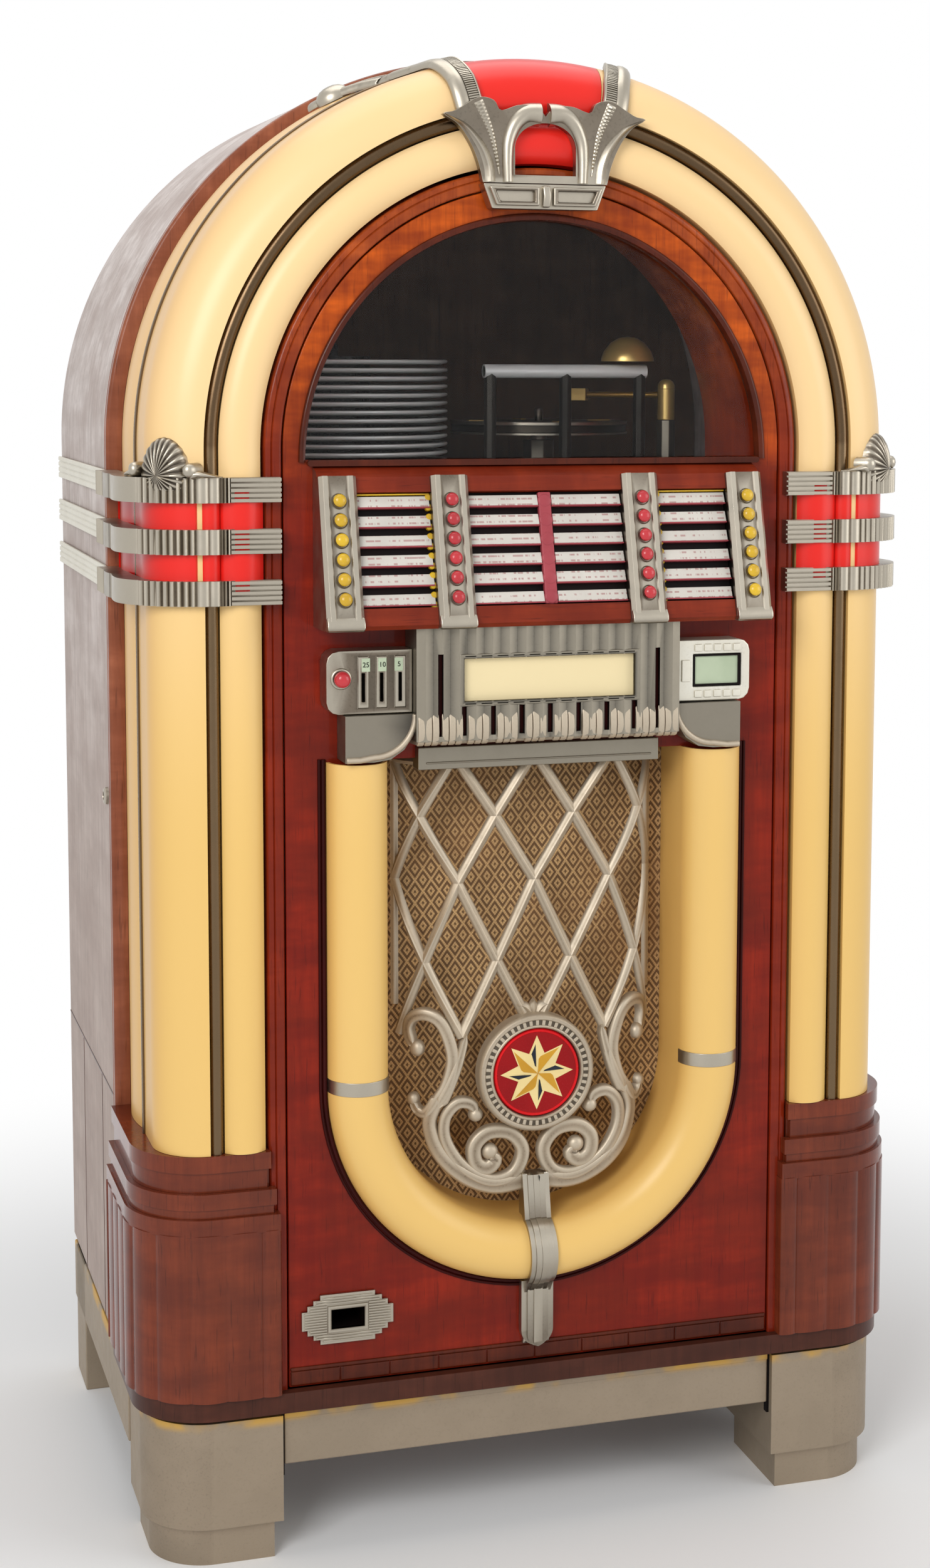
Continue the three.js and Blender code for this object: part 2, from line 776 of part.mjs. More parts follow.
function bandSet(side) {
  const inside = sleeveLine(sleeveClear).reverse();
  const outside = cornerPlan(bandHalf, bandFront, bandCorner, bandInner, woodFront - gap);
  const [back, pad] = [ringFront - gap, [bandPadEnd, bandPadFront]];
  const corner = reeded(outside.slice(2));
  const start = [[bandInner, back], [bandInner, bandPadFront], pad];
  const plan = [...start, ...corner, ...inside, [ringOuter + gap, back]];
  const bands = Array.from({ length: bandCount }, (_, i) => {
    const top = bandTop - i * bandPitch;
    const strip = [[cabinetHalf + gap, woodFront - cut], [cabinetHalf + stripReach, woodFront - cut],
      [cabinetHalf + stripReach, woodRear - cut], [cabinetHalf + gap, woodRear - cut]];
    return join(
      column(mirrored(plan, side), top - bandHeight, top),
      column(mirrored(strip, side), top - bandHeight, top),
    );
  });
  const sleevePlan = [...sleeveLine(sleeveClear + sleeveWall), ...inside];
  const bottom = bandTop - bandHeight - (bandCount - 1) * bandPitch;
  const sleeve = column(mirrored(sleevePlan, side), bottom + bandHeight / 2, bandTop - bandHeight / 2);
  return join(...bands, sleeve, fan(side));
}

// Points given as shares of a width and a height, measured from a foot point.
function scaled(shares, width, tall, foot = 0) {
  return shares.map(([across, up]) => [across * width, foot + up * tall]);
}

// A line on the right-hand side, closed by its mirror image.
function symmetric(half) {
  return [...half, ...half.map(([x, z]) => [-x, z]).reverse().filter(([x]) => x !== 0)];
}

// The place and outward normal at a share of the way along the outer plastic's face.
function plasticFace(share) {
  const line = [...cornerBulge(), [cornerX + cornerRadius, railY + railWidth / 2], ...sideBulge().slice(1)];
  const lengths = line.slice(1).map(([x, y], i) => Math.hypot(x - line[i][0], y - line[i][1]));
  let left = share * lengths.reduce((sum, length) => sum + length, 0);
  let i = 0;
  while (i < lengths.length - 1 && left > lengths[i]) {
    left -= lengths[i];
    i += 1;
  }
  const [[ax, ay], [bx, by]] = [line[i], line[i + 1]];
  const part = left / lengths[i];
  const normal = [(by - ay) / lengths[i], (ax - bx) / lengths[i]];
  return { radius: ax + (bx - ax) * part, y: ay + (by - ay) * part, normal };
}

// A cast rib that lies on the outer plastic and wraps from the front plate back over the arch.
function wrappedRib(side) {
  const low = 2 * gap + cut / 4;
  const crest = ribThickness + ribCrest;
  const section = [[-1, low], [1, low], [1, ribThickness], [0, crest], [-1, ribThickness]];
  const stations = ribStationShares.flatMap((station, i) => {
    const next = ribStationShares[i + 1];
    return next ? [station, station.map((value, k) => (value + next[k]) / 2)] : [station];
  });
  const rings = stations.map(([along, turn, width]) => {
    const { radius, y, normal } = plasticFace(along);
    return section.map(([across, lift]) => {
      const reach = radius + normal[0] * lift;
      const angle = side * (turn + across * width * ribHalf / radius);
      return [reach * Math.sin(angle), y + normal[1] * lift, archZ + reach * Math.cos(angle)];
    });
  });
  return solidOf(loft(rings, section.map(([across, lift]) => [across * ribHalf, lift])));
}

function keystoneCasting() {
  const back = innerBulgeCrest - gap;
  const window = [
    [-keyWindowHalf, keyBottom + keyWindowFoot],
    [keyWindowHalf, keyBottom + keyWindowFoot],
    ...arc(0, 0, 1, 0, Math.PI, 8).map(([x, z]) => [
      x * keyWindowHalf, keyBottom + keyWindowShoulder + z * (keyWindowCrown - keyWindowShoulder)]),
  ];
  const outline = symmetric(scaled(keyOutlineShares, keyHalf, keyHeight, keyBottom));
  const plate = slab(outline, keyFront, back, [window]);
  return join(plate, wrappedRib(1), wrappedRib(-1));
}

function keystonePlastic() {
  const cheek = cornerX + cornerRadius;
  const bulge = innerBulge();
  const line = [
    [bulge[0][0], grooveDepth],
    ...bulge,
    ...cornerBulge(),
    [cheek, railY],
    [cheek - railDepth, railY],
    ...sideBulge(),
  ];
  const section = shellSection(line, plasticWall);
  const steps = 3;
  const rings = Array.from({ length: steps + 1 }, (_, i) => {
    const angle = keyHalfAngle * degree * (2 * i / steps - 1);
    return section.map(([radius, y]) => [radius * Math.sin(angle), y, archZ + radius * Math.cos(angle)]);
  });
  return loft(rings, section);
}

// Front door

function uOutline(half, top, steps = archSteps) {
  return [[-half, top], ...arc(0, tubeBendZ, half, Math.PI, 2 * Math.PI, steps), [half, top]];
}

// Runs a section of [radius, y] points down one side, round the bend and up the other side.
function alongU(section, top, steps = archSteps) {
  const rings = [section.map(([radius, y]) => [-radius, y, top])];
  for (let i = 0; i <= steps; i += 1) {
    const angle = Math.PI * (1 + i / steps);
    rings.push(section.map(([radius, y]) => [
      radius * Math.cos(angle), y, tubeBendZ + radius * Math.sin(angle)]));
  }
  rings.push(section.map(([radius, y]) => [radius, y, top]));
  return solidOf(loft(rings, section));
}

function doorPanel() {
  const window = archOutline(windowRadius, windowSill, windowZ);
  const rabbet = archOutline(windowRadius + glassLap, windowSill - glassLap, windowZ);
  const opening = uOutline(wellHalf, latticeTop);
  const clear = cupWall + gap;
  const [across, tall] = [returnMouth / 2 + clear, returnMouthHeight / 2 + clear];
  const board = slab(archOutline(doorHalf, doorBottom), 0, doorThickness, [window, opening])
    .subtract(slab(rabbet, rabbetDepth, doorThickness + cut))
    .subtract(box(returnX - across, returnX + across, -cut, doorThickness + cut,
      returnZ - tall, returnZ + tall));
  const wellOutline = uOutline(wellHalf + wellWall, latticeTop + wellWall);
  const well = slab(wellOutline, doorThickness - cut, wellDepth, [opening]);
  const beadInner = tubeMid + tubeHalf + strapRise + gap;
  const bead = alongU([
    [beadInner, cut / 2], [beadInner, -beadRise / 2], [beadInner + beadWidth / 2, -beadRise],
    [beadInner + beadWidth, -beadRise / 2], [beadInner + beadWidth, cut / 2],
  ], tubeTop).subtract(box(-clipFoot - gap, clipFoot + gap, -2 * beadRise, 0, clipBottom, tubeBendZ));
  const [barBottom, barTop] = keyBarHalfShares.map((share) => share * keyHalf);
  const barLine = [[barBottom, keyBottom], [barTop, keyBarTop], [0, keyBarTop]];
  const seatHeight = (keyBarTop - keyBottom) / 2;
  const bar = join(
    slab(symmetric(barLine), keyFront, ringFront - 2 * gap),
    box(-barBottom, barBottom, keyFront / 2, cut, keyBottom, keyBottom + seatHeight),
  );
  return join(board, well, bead, bar);
}

function windowGlass() {
  const lap = glassLap - gap;
  const front = rabbetDepth + gap;
  return slab(archOutline(windowRadius + lap, windowSill - lap, windowZ), front, front + glassThickness);
}

// Tilted selector panel; its own axes run across, into and up the sloping face
const selectorFace = new THREE.Group();
selectorFace.position.set(0, selectorTopY, selectorTop);
selectorFace.rotation.x = -selectorSlope;
selectorFace.updateMatrix();
const ribCentre = selectorHalf - ribWidth / 2;
const rackFront = bridgeBack + rackClear;
const rackBack = rackFront + rackPlate;

function onFace(solid) {
  return solidOf(geometryOf(solid).applyMatrix4(selectorFace.matrix));
}

function rowHeight(row) {
  return -firstRow - row * buttonPitch;
}

function selectorRib(x, backY) {
  const half = ribWidth / 2;
  const edge = ribWidth / 10;
  const channel = buttonRadius + 2 * edge / 3;
  const section = [
    [-half, backY], [-half, -ribRise / 2], [-half + edge, -ribRise], [-channel - edge / 3, -ribRise],
    [-channel, -ribRise + edge / 3], [channel, -ribRise + edge / 3], [channel + edge / 3, -ribRise],
    [half - edge, -ribRise], [half, -ribRise / 2], [half, backY],
  ];
  return column(section.map(([across, y]) => [x + across, y]), -selectorLength, 0);
}

function selectorHousing() {
  const side = [
    [-gap, selectorTop + 2 * cut], [selectorTopY * 0.7, selectorTop + cut], [selectorTopY, selectorTop],
    [selectorBottomY, selectorBottom], [selectorBottomY + cut, housingBase], [-gap, housingBase],
  ];
  const opening = selectorHalf - ribWidth;
  const hollow = onFace(box(-opening, opening, -3 * cut, rackBack + gap,
    rackBottomRail - selectorLength, -rackTopRail));
  let housing = beam(side, -selectorHalf, selectorHalf).subtract(hollow);
  for (const share of ribShares) {
    const outer = Math.abs(share) === 1;
    housing = housing.add(onFace(selectorRib(share * ribCentre, outer ? cut / 2 : bridgeBack)));
  }
  const sides = 6;
  const hole = (stemRadius + stemClear) / Math.cos(Math.PI / sides);
  const profile = [[0, -3 * cut], [hole, -3 * cut], [hole, boreDepth], [0, boreDepth]];
  for (const share of ribShares) {
    for (let row = 0; row < buttonRows; row += 1) {
      const bore = turnedAlongY(profile, share * ribCentre, rowHeight(row), sides);
      housing = housing.subtract(onFace(bore));
    }
  }
  return housing;
}

function titleRack() {
  const top = -rackTopRail - gap;
  const bottom = rackBottomRail - selectorLength + gap;
  const innerRib = -ribShares[1] * ribCentre;
  const edge = ribWidth / 2 + gap;
  const outer = selectorHalf - ribWidth - gap;
  const spans = [
    [-outer, -innerRib - edge],
    [-innerRib + edge, innerRib - edge],
    [innerRib + edge, outer],
  ];
  let rack = box(-outer, outer, rackFront, rackBack, bottom, top);
  for (let row = 0; row < buttonRows; row += 1) {
    const z = rowHeight(row) + stripFace / 2;
    const foot = z - stripFace;
    const tooth = [
      [rackFront + gap, z],
      [stripFront + stripLean, z],
      [stripFront, foot],
      [rackFront + gap, foot],
    ];
    for (const [from, to] of spans) rack = rack.add(beam(tooth, from, to));
  }
  return rack;
}

// A push button whose dome points to -Y; its stem runs back into the rib.
function selectorButton() {
  const root = -ribRise - gap;
  const stemEnd = rackFront - buttonTravel - 2 * gap;
  const dome = domeShares.map(([across, out]) => [across * buttonRadius, root - out * buttonRise]);
  const under = dome[dome.length - 1][1];
  return turnedAlongY([...dome, [stemRadius, under], [stemRadius, stemEnd], [0, stemEnd]], 0, 0, 8);
}

function nameplateCasting() {
  const pleats = Array.from({ length: 2 * pleatCount + 1 }, (_, i) => [
    plateHalf * (i / pleatCount - 1),
    plateFront + (i % 2 === 0 ? pleatDepth : 0),
  ]);
  const inner = plateHalf - wallThickness;
  const innerFront = plateFront + pleatDepth + wallThickness;
  const plan = [
    [-plateHalf, -gap], ...pleats, [plateHalf, -gap], [inner, -gap], [inner, innerFront],
    [-inner, innerFront], [-inner, -gap],
  ];
  const curlY = plateFront + plateCurl;
  const inWall = wallThickness / 3;
  const lip = [
    ...arc(curlY, plateBottom + plateCurl / 3, plateCurl - pleatDepth - inWall, Math.PI, 1.5 * Math.PI, 4),
    [-wallThickness - gap, plateBottom - plateCurl / 2],
    [-wallThickness - gap, plateBottom + inWall],
    [curlY, plateBottom + inWall],
    [innerFront - inWall, plateBottom + plateCurl],
  ];
  const sweepX = tubeMid - tubeHalf / 3;
  const wing = [
    [wingOuter, wingTop], [wingInner, wingTop],
    ...arc(sweepX, wingTop - cut, sweepX - wingInner, Math.PI, 1.5 * Math.PI, 4)
      .map(([x, z]) => [x, Math.max(z, wingBottom)]),
    [wingOuter, wingBottom],
  ];
  let casting = join(
    column(plan, plateBottom, plateTop),
    beam(lip, -inner - inWall, inner + inWall),
    slab(wing, wingFront, -gap),
    slab(wing.map(([x, z]) => [-x, z]).reverse(), wingFront, -gap),
  );
  const slotFront = plateFront - cut;
  const slotBack = innerFront + cut;
  casting = casting.subtract(box(-panelHalf, panelHalf, slotFront, slotBack, panelBottom, panelTop));
  const shortTop = panelBottom - cut;
  for (let i = 0; i < shortSlots; i += 1) {
    const x = panelHalf * (2 * i / (shortSlots - 1) - 1);
    casting = casting.subtract(box(x - slotWidth / 2, x + slotWidth / 2, slotFront, slotBack,
      plateBottom + cut, shortTop));
  }
  const tallX = (panelHalf + plateHalf) / 2;
  for (const x of [-tallX, tallX]) {
    casting = casting.subtract(box(x - slotWidth / 2, x + slotWidth / 2, slotFront, slotBack,
      plateBottom + cut, panelTop + cut));
  }
  return casting;
}

function nameplateWindow() {
  const front = plateFront + pleatDepth + wallThickness + gap;
  const half = panelHalf + cut;
  return box(-half, half, front, front + panelThickness, panelBottom - cut / 2, panelTop + cut / 2);
}

// A front outline with a square inner end and two rounded corners at the outer end.
function roundedBox(inner, outer, bottom, top, corner) {
  return [
    [inner, bottom],
    ...arc(outer - corner, bottom + corner, corner, -Math.PI / 2, 0, 3),
    ...arc(outer - corner, top - corner, corner, 0, Math.PI / 2, 3),
    [inner, top],
  ];
}

const boxInner = plateHalf + 2 * gap;
const rejectX = boxOuter - 1.8 * rejectRadius;
const rejectZ = (boxTop + boxBottom) / 2 + rejectRadius / 2;

function coinEntry() {
  const outline = roundedBox(boxInner, boxOuter, boxBottom, boxTop, boxCorner);
  let entry = slab(mirrored(outline, -1), boxFront, -gap);
  const first = boxInner + 2 * boxCorner / 3;
  const pitch = (rejectX - rejectRadius - first) / coinSlots;
  const [slot, bezel] = [coinSlotWidth / 2, 1.6 * coinSlotWidth];
  const foot = boxBottom + boxCorner;
  for (let i = 0; i < coinSlots; i += 1) {
    const x = -first - (i + 0.25) * pitch;
    entry = entry
      .add(box(x - bezel, x + bezel, boxFront - slot, boxFront + cut,
        boxBottom + boxCorner / 2, boxTop - boxCorner / 2))
      .subtract(box(x - slot, x + slot, boxFront - cut, boxFront / 2, foot, foot + coinSlotHeight));
  }
  const [hole, front, back] = [stemRadius + stemClear, boxFront - cut, -2 * cut];
  const bore = turnedAlongY([[0, front], [hole, front], [hole, back], [0, back]], -rejectX, rejectZ, 10);
  return entry.subtract(bore);
}

function coinReturnButton() {
  const back = -rejectTravel - gap;
  const stemEnd = -boxFront - 2 * cut - rejectTravel - gap;
  const head = rejectDomeShares.map(([across, out]) => [across * rejectRadius, back - out * rejectRadius]);
  return turnedAlongY([...head, [stemRadius, back], [stemRadius, stemEnd], [0, stemEnd]], 0, 0, 12);
}

function selectionSign() {
  const outline = roundedBox(boxInner, boxOuter - cut, boxBottom, boxTop, boxCorner);
  const centre = (boxInner + boxOuter) / 2 + cut / 2;
  const [middle, half] = [(boxTop + boxBottom) / 2, signPanelHeight / 2];
  const recess = box(centre - signPanelHalf, centre + signPanelHalf, boxFront - cut, boxFront + cut,
    middle - half, middle + half);
  return slab(outline, boxFront, -gap).subtract(recess);
}

function uTube() {
  const halfRound = (radius) => shellSection(arc(tubeMid, -gap, radius, -Math.PI, 0, 7), tubeWall)
    .map(([x, y]) => [x, Math.min(y, -gap)]);
  const section = halfRound(tubeHalf);
  const strap = halfRound(tubeHalf + strapRise);
  const rings = (at) => [at, at + strapHeight];
  const straps = [-1, 1].map((side) => column(
    strap.map(([x, y]) => [side * (x - gap), y]), ...rings(tubeBendZ - strapHeight / 4)));
  return join(alongU(section, tubeTop), ...straps);
}

// Speaker grille, drawn flat as [across, height] and then bent back at both sides

function bent(geometry) {
  const at = geometry.getAttribute('position');
  for (let i = 0; i < at.count; i += 1) {
    const [across, back] = [at.getX(i), at.getY(i)];
    const angle = Math.max(0, Math.abs(across) - grilleFlat) / grilleBend;
    const radius = grilleBend - back;
    if (angle > 0) {
      at.setX(i, Math.sign(across) * (grilleFlat + radius * Math.sin(angle)));
    }
    at.setY(i, grilleY + grilleBend - radius * Math.cos(angle));
  }
  geometry.computeVertexNormals();
  return geometry;
}

// Section of a cast bar, as shares of its half width and its rise.
const ridgeShares = [[-1, 1], [0, 0], [1, 1]];

// A cast bar along a flat line, with a flat back and a ridge along the middle.
function castBar(line, widths, rise, side = 1) {
  const rings = line.map(([x, z], i) => {
    const [ax, az] = line[Math.max(i - 1, 0)];
    const [bx, bz] = line[Math.min(i + 1, line.length - 1)];
    const length = Math.hypot(bx - ax, bz - az);
    const [nx, nz] = [(az - bz) / length, (bx - ax) / length];
    const half = widths[i] / 2;
    return ridgeShares.map(([across, back]) => [
      side * (x + nx * across * half), back * rise, z + nz * across * half]);
  });
  return solidOf(loft(rings, ridgeShares));
}

function scroll(shares, steps, fromWidth, toWidth, side) {
  const curve = new THREE.CatmullRomCurve3(
    scaled(shares, scrollHalf, scrollHeight, scrollBottom).map(([x, z]) => new THREE.Vector3(x, 0, z)));
  const line = curve.getSpacedPoints(steps).map(({ x, z }) => [x, z]);
  const widths = line.map((_, i) => {
    const part = i / steps;
    return fromWidth + (toWidth - fromWidth) * part;
  });
  return castBar(line, widths, scrollRise, side);
}

// The place of a lattice crossing; rows count down from the header and columns out from the middle.
function crossing(row, columnIndex) {
  const share = latticeRowShares[row];
  const cell = cellTop - cellTaper * share;
  return [cell * columnIndex, latticeTop - (latticeTop - latticeBottom) * share];
}

function lattice() {
  const bars = [];
  const lastRow = latticeRowShares.length - 1;
  for (const lean of [-1, 1]) {
    for (let start = -latticeEdge - lastRow; start <= latticeEdge + lastRow; start += 2) {
      const line = [];
      for (let row = 0; row <= lastRow; row += 1) {
        const place = start + lean * row;
        if (Math.abs(place) <= latticeEdge) line.push(crossing(row, place));
      }
      if (line.length > 1) bars.push(castBar(line, line.map(() => barWidth), barRise));
    }
  }
  return join(...bars);
}

function speakerGrille() {
  const top = latticeTop - cut / 2;
  const across = top - cut;
  const half = grilleReach + barWidth / 2;
  const parts = [lattice()];
  for (const side of [-1, 1]) {
    parts.push(
      castBar([[grilleReach, top], [grilleReach, medallionZ - cut]], [barWidth, barWidth], barRise, side),
      castBar([[grilleFlat, across], [(grilleFlat + grilleReach) / 2, across], [grilleReach, across]],
        [barWidth, barWidth, barWidth], barRise, side),
      scroll(outerScrollShares, 14, scrollWidth * 0.8, scrollWidth, side),
      scroll(innerScrollShares, 16, scrollWidth * 0.7, scrollWidth * 0.8, side),
      scroll(curlShares, 5, scrollWidth * 0.8, scrollWidth * 0.7, side),
      scroll(stemShares, 4, scrollWidth * 0.5, scrollWidth * 0.9, side),
    );
  }
  const crestLine = scaled(crestShares, medallionRim, medallionRim, medallionZ + medallionRim);
  const crest = slab(crestLine, 0, barRise);
  const limits = box(-half, half, -scrollRise, 2 * scrollRise, scrollBottom - cut, top + cut / 2);
  const flat = join(...parts, crest).intersect(limits);
  const bends = solidOf(outward(weldedGeometry(bent(geometryOf(flat)))));
  return join(bends, medallionSeat(), grilleHeader(), tubeClip());
}

function medallionSeat() {
  const [floor, crest] = [grilleY - cut / 4, grilleY - medallionRise - cut / 2];
  const inner = medallionRadius + 2 * gap;
  return turnedAlongY([
    [0, floor], [inner, floor], [inner, crest + cut / 2], [inner + cut, crest],
    [medallionRim - cut, crest], [medallionRim, grilleY - cut],
    [medallionRim, grilleY + barRise], [0, grilleY + barRise],
  ], 0, medallionZ, 20);
}

function grilleHeader() {
  return join(
    box(-headerHalf, headerHalf, headerFront, -gap, headerBottom, headerTop),
    box(-headerHalf, headerHalf, headerFront, grilleY + barRise, headerBottom, latticeTop - gap),
  );
}

// The clip that holds the tube at the foot of the grille: it runs over the tube and down the door.
function tubeClip() {
  const inner = tubeHalf + 2 * gap;
  const outer = inner + clipThickness;
  const centre = tubeBendZ - tubeMid;
  const over = (radius, from, to) => arc(0, centre, radius, from, to, 8).map(([y, z]) => [y - gap, z]);
  const line = [
    [grilleY + barRise, clipTop],
    [grilleY - clipThickness, clipTop],
    ...over(outer, 0.6 * Math.PI, 1.32 * Math.PI),
    [-2 * clipThickness, centre - outer - clipThickness],
    [-2 * clipThickness, clipBottom + clipThickness],
    [-clipThickness, clipBottom],
    [-gap, clipBottom],
    [-gap, centre - inner],
    ...over(inner, 1.45 * Math.PI, 0.55 * Math.PI),
    [-gap, centre + inner + clipThickness],
    [grilleY + barRise, centre + inner + clipThickness],
  ];
  const foot = centre - outer;
  const narrow = beam(line, -clipHalf, clipHalf);
  const wide = box(-clipFoot, clipFoot, -1.5 * clipThickness, -gap, clipBottom + clipThickness, foot);
  const tube = alongU(arc(tubeMid, -gap, tubeHalf + gap, -Math.PI, 0, 7), tubeTop);
  return join(narrow, wide).subtract(tube);
}

function medallion() {
  const back = grilleY - cut / 4 - gap;
  const front = grilleY - medallionRise;
  return turnedAlongY([
    [0, back], [medallionRadius, back], [medallionRadius, front + cut / 2],
    [0.8 * medallionRadius, front], [0, front - cut / 4],
  ], 0, medallionZ, 20);
}

const returnWidthShares = [1, 0.88, 0.75, 0.6];
const returnHeightShares = [0.38, 0.6, 0.8, 1];

function coinReturnPlate() {
  const quarter = returnWidthShares.flatMap((share, i) => {
    const x = share * returnHalf;
    const z = returnHeightShares[i] * returnHeight / 2;
    const before = i === 0 ? 0 : returnHeightShares[i - 1] * returnHeight / 2;
    return [[x, before], [x, z]];
  }).slice(1);
  const upper = [...quarter, ...quarter.map(([x, z]) => [-x, z]).reverse()];
  const outline = [...upper, ...upper.map(([x, z]) => [-x, -z])];
  const placed = outline.map(([x, z]) => [returnX + x, returnZ + z]);
  const around = (wall, front, back) => {
    const [half, tall] = [returnMouth / 2 + wall, returnMouthHeight / 2 + wall];
    return box(returnX - half, returnX + half, front, back, returnZ - tall, returnZ + tall);
  };
  return join(slab(placed, -returnThickness, -gap), around(cupWall, -returnThickness / 2, cupDepth))
    .subtract(around(0, -3 * cut, cupDepth - cupWall));
}

function speakerBoard() {
  const front = wellDepth + gap;
  const back = front + clothBoard;
  const board = slab(uOutline(wellHalf + wellWall, latticeTop + wellWall), front, back);
  const cone = turnedAlongY([
    [0, back - cut], [speakerRadius, back - cut], [speakerRadius, back + cut],
    [magnetRadius, back + speakerDepth - magnetRadius / 2], [magnetRadius, back + speakerDepth],
    [0, back + speakerDepth],
  ], 0, speakerZ, 20);
  return join(board, cone);
}

// Record changer

function changerFrame() {
  const foot = shelfTop + gap;
  const tongue = ringInner - deckRingClear;
  const deck = join(
    box(-deckHalf, deckHalf, deckFront, deckBack, foot, foot + deckThickness),
    box(-tongue, tongue, stackY - discRadius, deckBack, foot, foot + deckThickness),
  );
  const sides = 8;
  const post = (x, y, top, radius = postRadius) => turned(
    [[0, foot], [radius, foot], [radius, top], [0, top]], x, y, sides);
  const railY = stackY - discRadius + 2 * postRadius;
  const railLeft = stackX + discRadius + 2 * postRadius;
  const railRight = armPivotX - 5 * postRadius;
  const rail = solidOf(new THREE.CylinderGeometry(postRadius, postRadius, railRight - railLeft, sides)
    .rotateZ(Math.PI / 2).translate((railLeft + railRight) / 2, railY, railHeight));
  return join(
    deck,
    post(railLeft + postRadius, railY, railHeight),
    post((railLeft + railRight) / 2, railY, railHeight),
    post(railRight - postRadius, railY, railHeight),
    rail,
    post(stackX, stackY, foot + 2 * deckThickness, discRadius / 2),
    post(turntableX, turntableY, turntableZ - gap - postRadius, 2 * shaftRadius),
    post(armPivotX, armPivotY, armHeight - 4 * postRadius, 1.5 * postRadius),
  );
}

function recordStack() {
  const foot = shelfTop + 2 * deckThickness + 2 * gap;
  const profile = [[0, foot]];
  for (let i = 0; i < discCount; i += 1) {
    const z = foot + i * discPitch;
    profile.push([discRadius, z], [discRadius, z + discThickness]);
    profile.push([discRadius / 3, z + discThickness], [discRadius / 3, z + discPitch]);
  }
  const top = foot + discCount * discPitch;
  profile.push([spindleRadius, top], [spindleRadius, top + discPitch], [0, top + discPitch]);
  return turned(profile, stackX, stackY, 10);
}

function turntable() {
  const low = turntableZ;
  return turned([
    [0, low - postRadius], [shaftRadius, low - postRadius], [shaftRadius, low], [platterRadius, low],
    [platterRadius, low + platterThickness], [shaftRadius / 2, low + platterThickness],
    [shaftRadius / 2, low + 2 * platterThickness], [0, low + 2 * platterThickness],
  ], turntableX, turntableY, 20);
}

function toneArm() {
  const [foot, top] = [armHeight - 4 * postRadius + gap, armHeight + postRadius];
  const radius = 1.4 * postRadius;
  const pivot = turned([[0, foot], [radius, foot], [radius, top], [0, top]], 0, 0, 10);
  const reach = Math.hypot(armPivotX - turntableX, turntableY - armPivotY) - platterRadius / 2;
  const tube = solidOf(new THREE.CylinderGeometry(postRadius / 2, postRadius / 2, reach, 8)
    .translate(0, reach / 2, armHeight));
  const head = box(-postRadius, postRadius, reach - postRadius, reach + 3 * postRadius,
    armHeight - postRadius, armHeight + postRadius);
  return join(pivot, tube, head);
}

function rearDoor() {
  const half = innerHalf - rearGap;
  const bottom = woodBottom + boardThickness + rearGap;
  let door = slab(archOutline(half, bottom), woodRear - rearThickness, woodRear);
  for (let i = 0; i < ventCount; i += 1) {
    const top = ventTop - i * ventPitch;
    door = door.subtract(box(-ventHalf, ventHalf, woodRear - rearThickness - cut, woodRear + cut,
      top - ventHeight, top));
  }
  return door;
}

// Assembly

place('cabinet_shell', cabinetShell(), sideWood);
place('face_frame', faceFrame(), darkWood);
const plasticEnd = (90 - keyHalfAngle - 0.1) * degree;
const tubeSection = arc(tubeX, tubeY, tubeRadius, 0, 2 * Math.PI, 8).slice(0, -1);
for (const [side, label] of [[-1, 'left'], [1, 'right']]) {
  const run = (section) => alongArch(section, side, plasticBottom, plasticEnd);
  place(`corner_plastic_${label}`, run(outerPlasticSection()), creamPlastic);
  place(`inner_plastic_${label}`, run(innerPlasticSection()), creamPlastic);
  place(`bubble_tube_${label}`, run(tubeSection), bronze);
  place(`band_set_${label}`, bandSet(side), nickel);
  place(`pilaster_base_${label}`, pilasterBase(side), mahogany);
  place(`front_foot_${label}`, frontFoot(side), dullNickel);
}
place('base_rails', baseRails(), dullNickel);
place('keystone_casting', keystoneCasting(), nickel);
place('keystone_plastic', keystonePlastic(), redPlastic);

place('door_panel', doorPanel(), mahogany);
place('window_glass', windowGlass(), darkGlass);
place('selector_housing', selectorHousing(), nickel);
cabinet.add(selectorFace);
place('title_rack', titleRack(), paper, selectorFace);
ribShares.forEach((share, columnIndex) => {
  for (let row = 0; row < buttonRows; row += 1) {
    const material = Math.abs(share) === 1 ? yellowPlastic : redPlastic;
    const name = `selector_button_${columnIndex + 1}_${row + 1}`;
    const button = place(name, selectorButton(), material, selectorFace);
    button.position.set(share * ribCentre, 0, rowHeight(row));
  }
});
place('nameplate_casting', nameplateCasting(), steel);
place('nameplate_window', nameplateWindow(), creamPlastic);
place('coin_entry', coinEntry(), nickel);
const reject = place('coin_return_button', coinReturnButton(), redPlastic);
reject.position.set(-rejectX, boxFront, rejectZ);
place('selection_sign', selectionSign(), paleGreen);
place('u_tube', uTube(), creamPlastic);
place('speaker_grille', speakerGrille(), nickel);
place('medallion', medallion(), redPlastic);
place('coin_return_plate', coinReturnPlate(), nickel);
place('speaker_board', speakerBoard(), cloth);

place('changer_frame', changerFrame(), steel);
place('record_stack', recordStack(), blackShellac);
place('turntable', turntable(), steel);
const arm = place('tone_arm', toneArm(), brass);
arm.position.set(armPivotX, armPivotY, 0);
arm.rotation.z = Math.atan2(armPivotX - turntableX, turntableY - armPivotY);

place('rear_door', rearDoor(), sideWood);

const jukebox = new THREE.Group();
jukebox.add(cabinet);

export default jukebox;
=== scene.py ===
"""An arch-topped floor jukebox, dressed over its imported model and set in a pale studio.

Sizes are millimetres from the front face of the door: x runs to the right, y to the back, z up from the floor.
Each piece's place is in its own mesh, in metres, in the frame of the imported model.
"""
import json
import logging
import math
from dataclasses import dataclass
from enum import Enum
from functools import lru_cache
from typing import Callable, Sequence

import bmesh
import bpy
from mathutils import Matrix, Vector


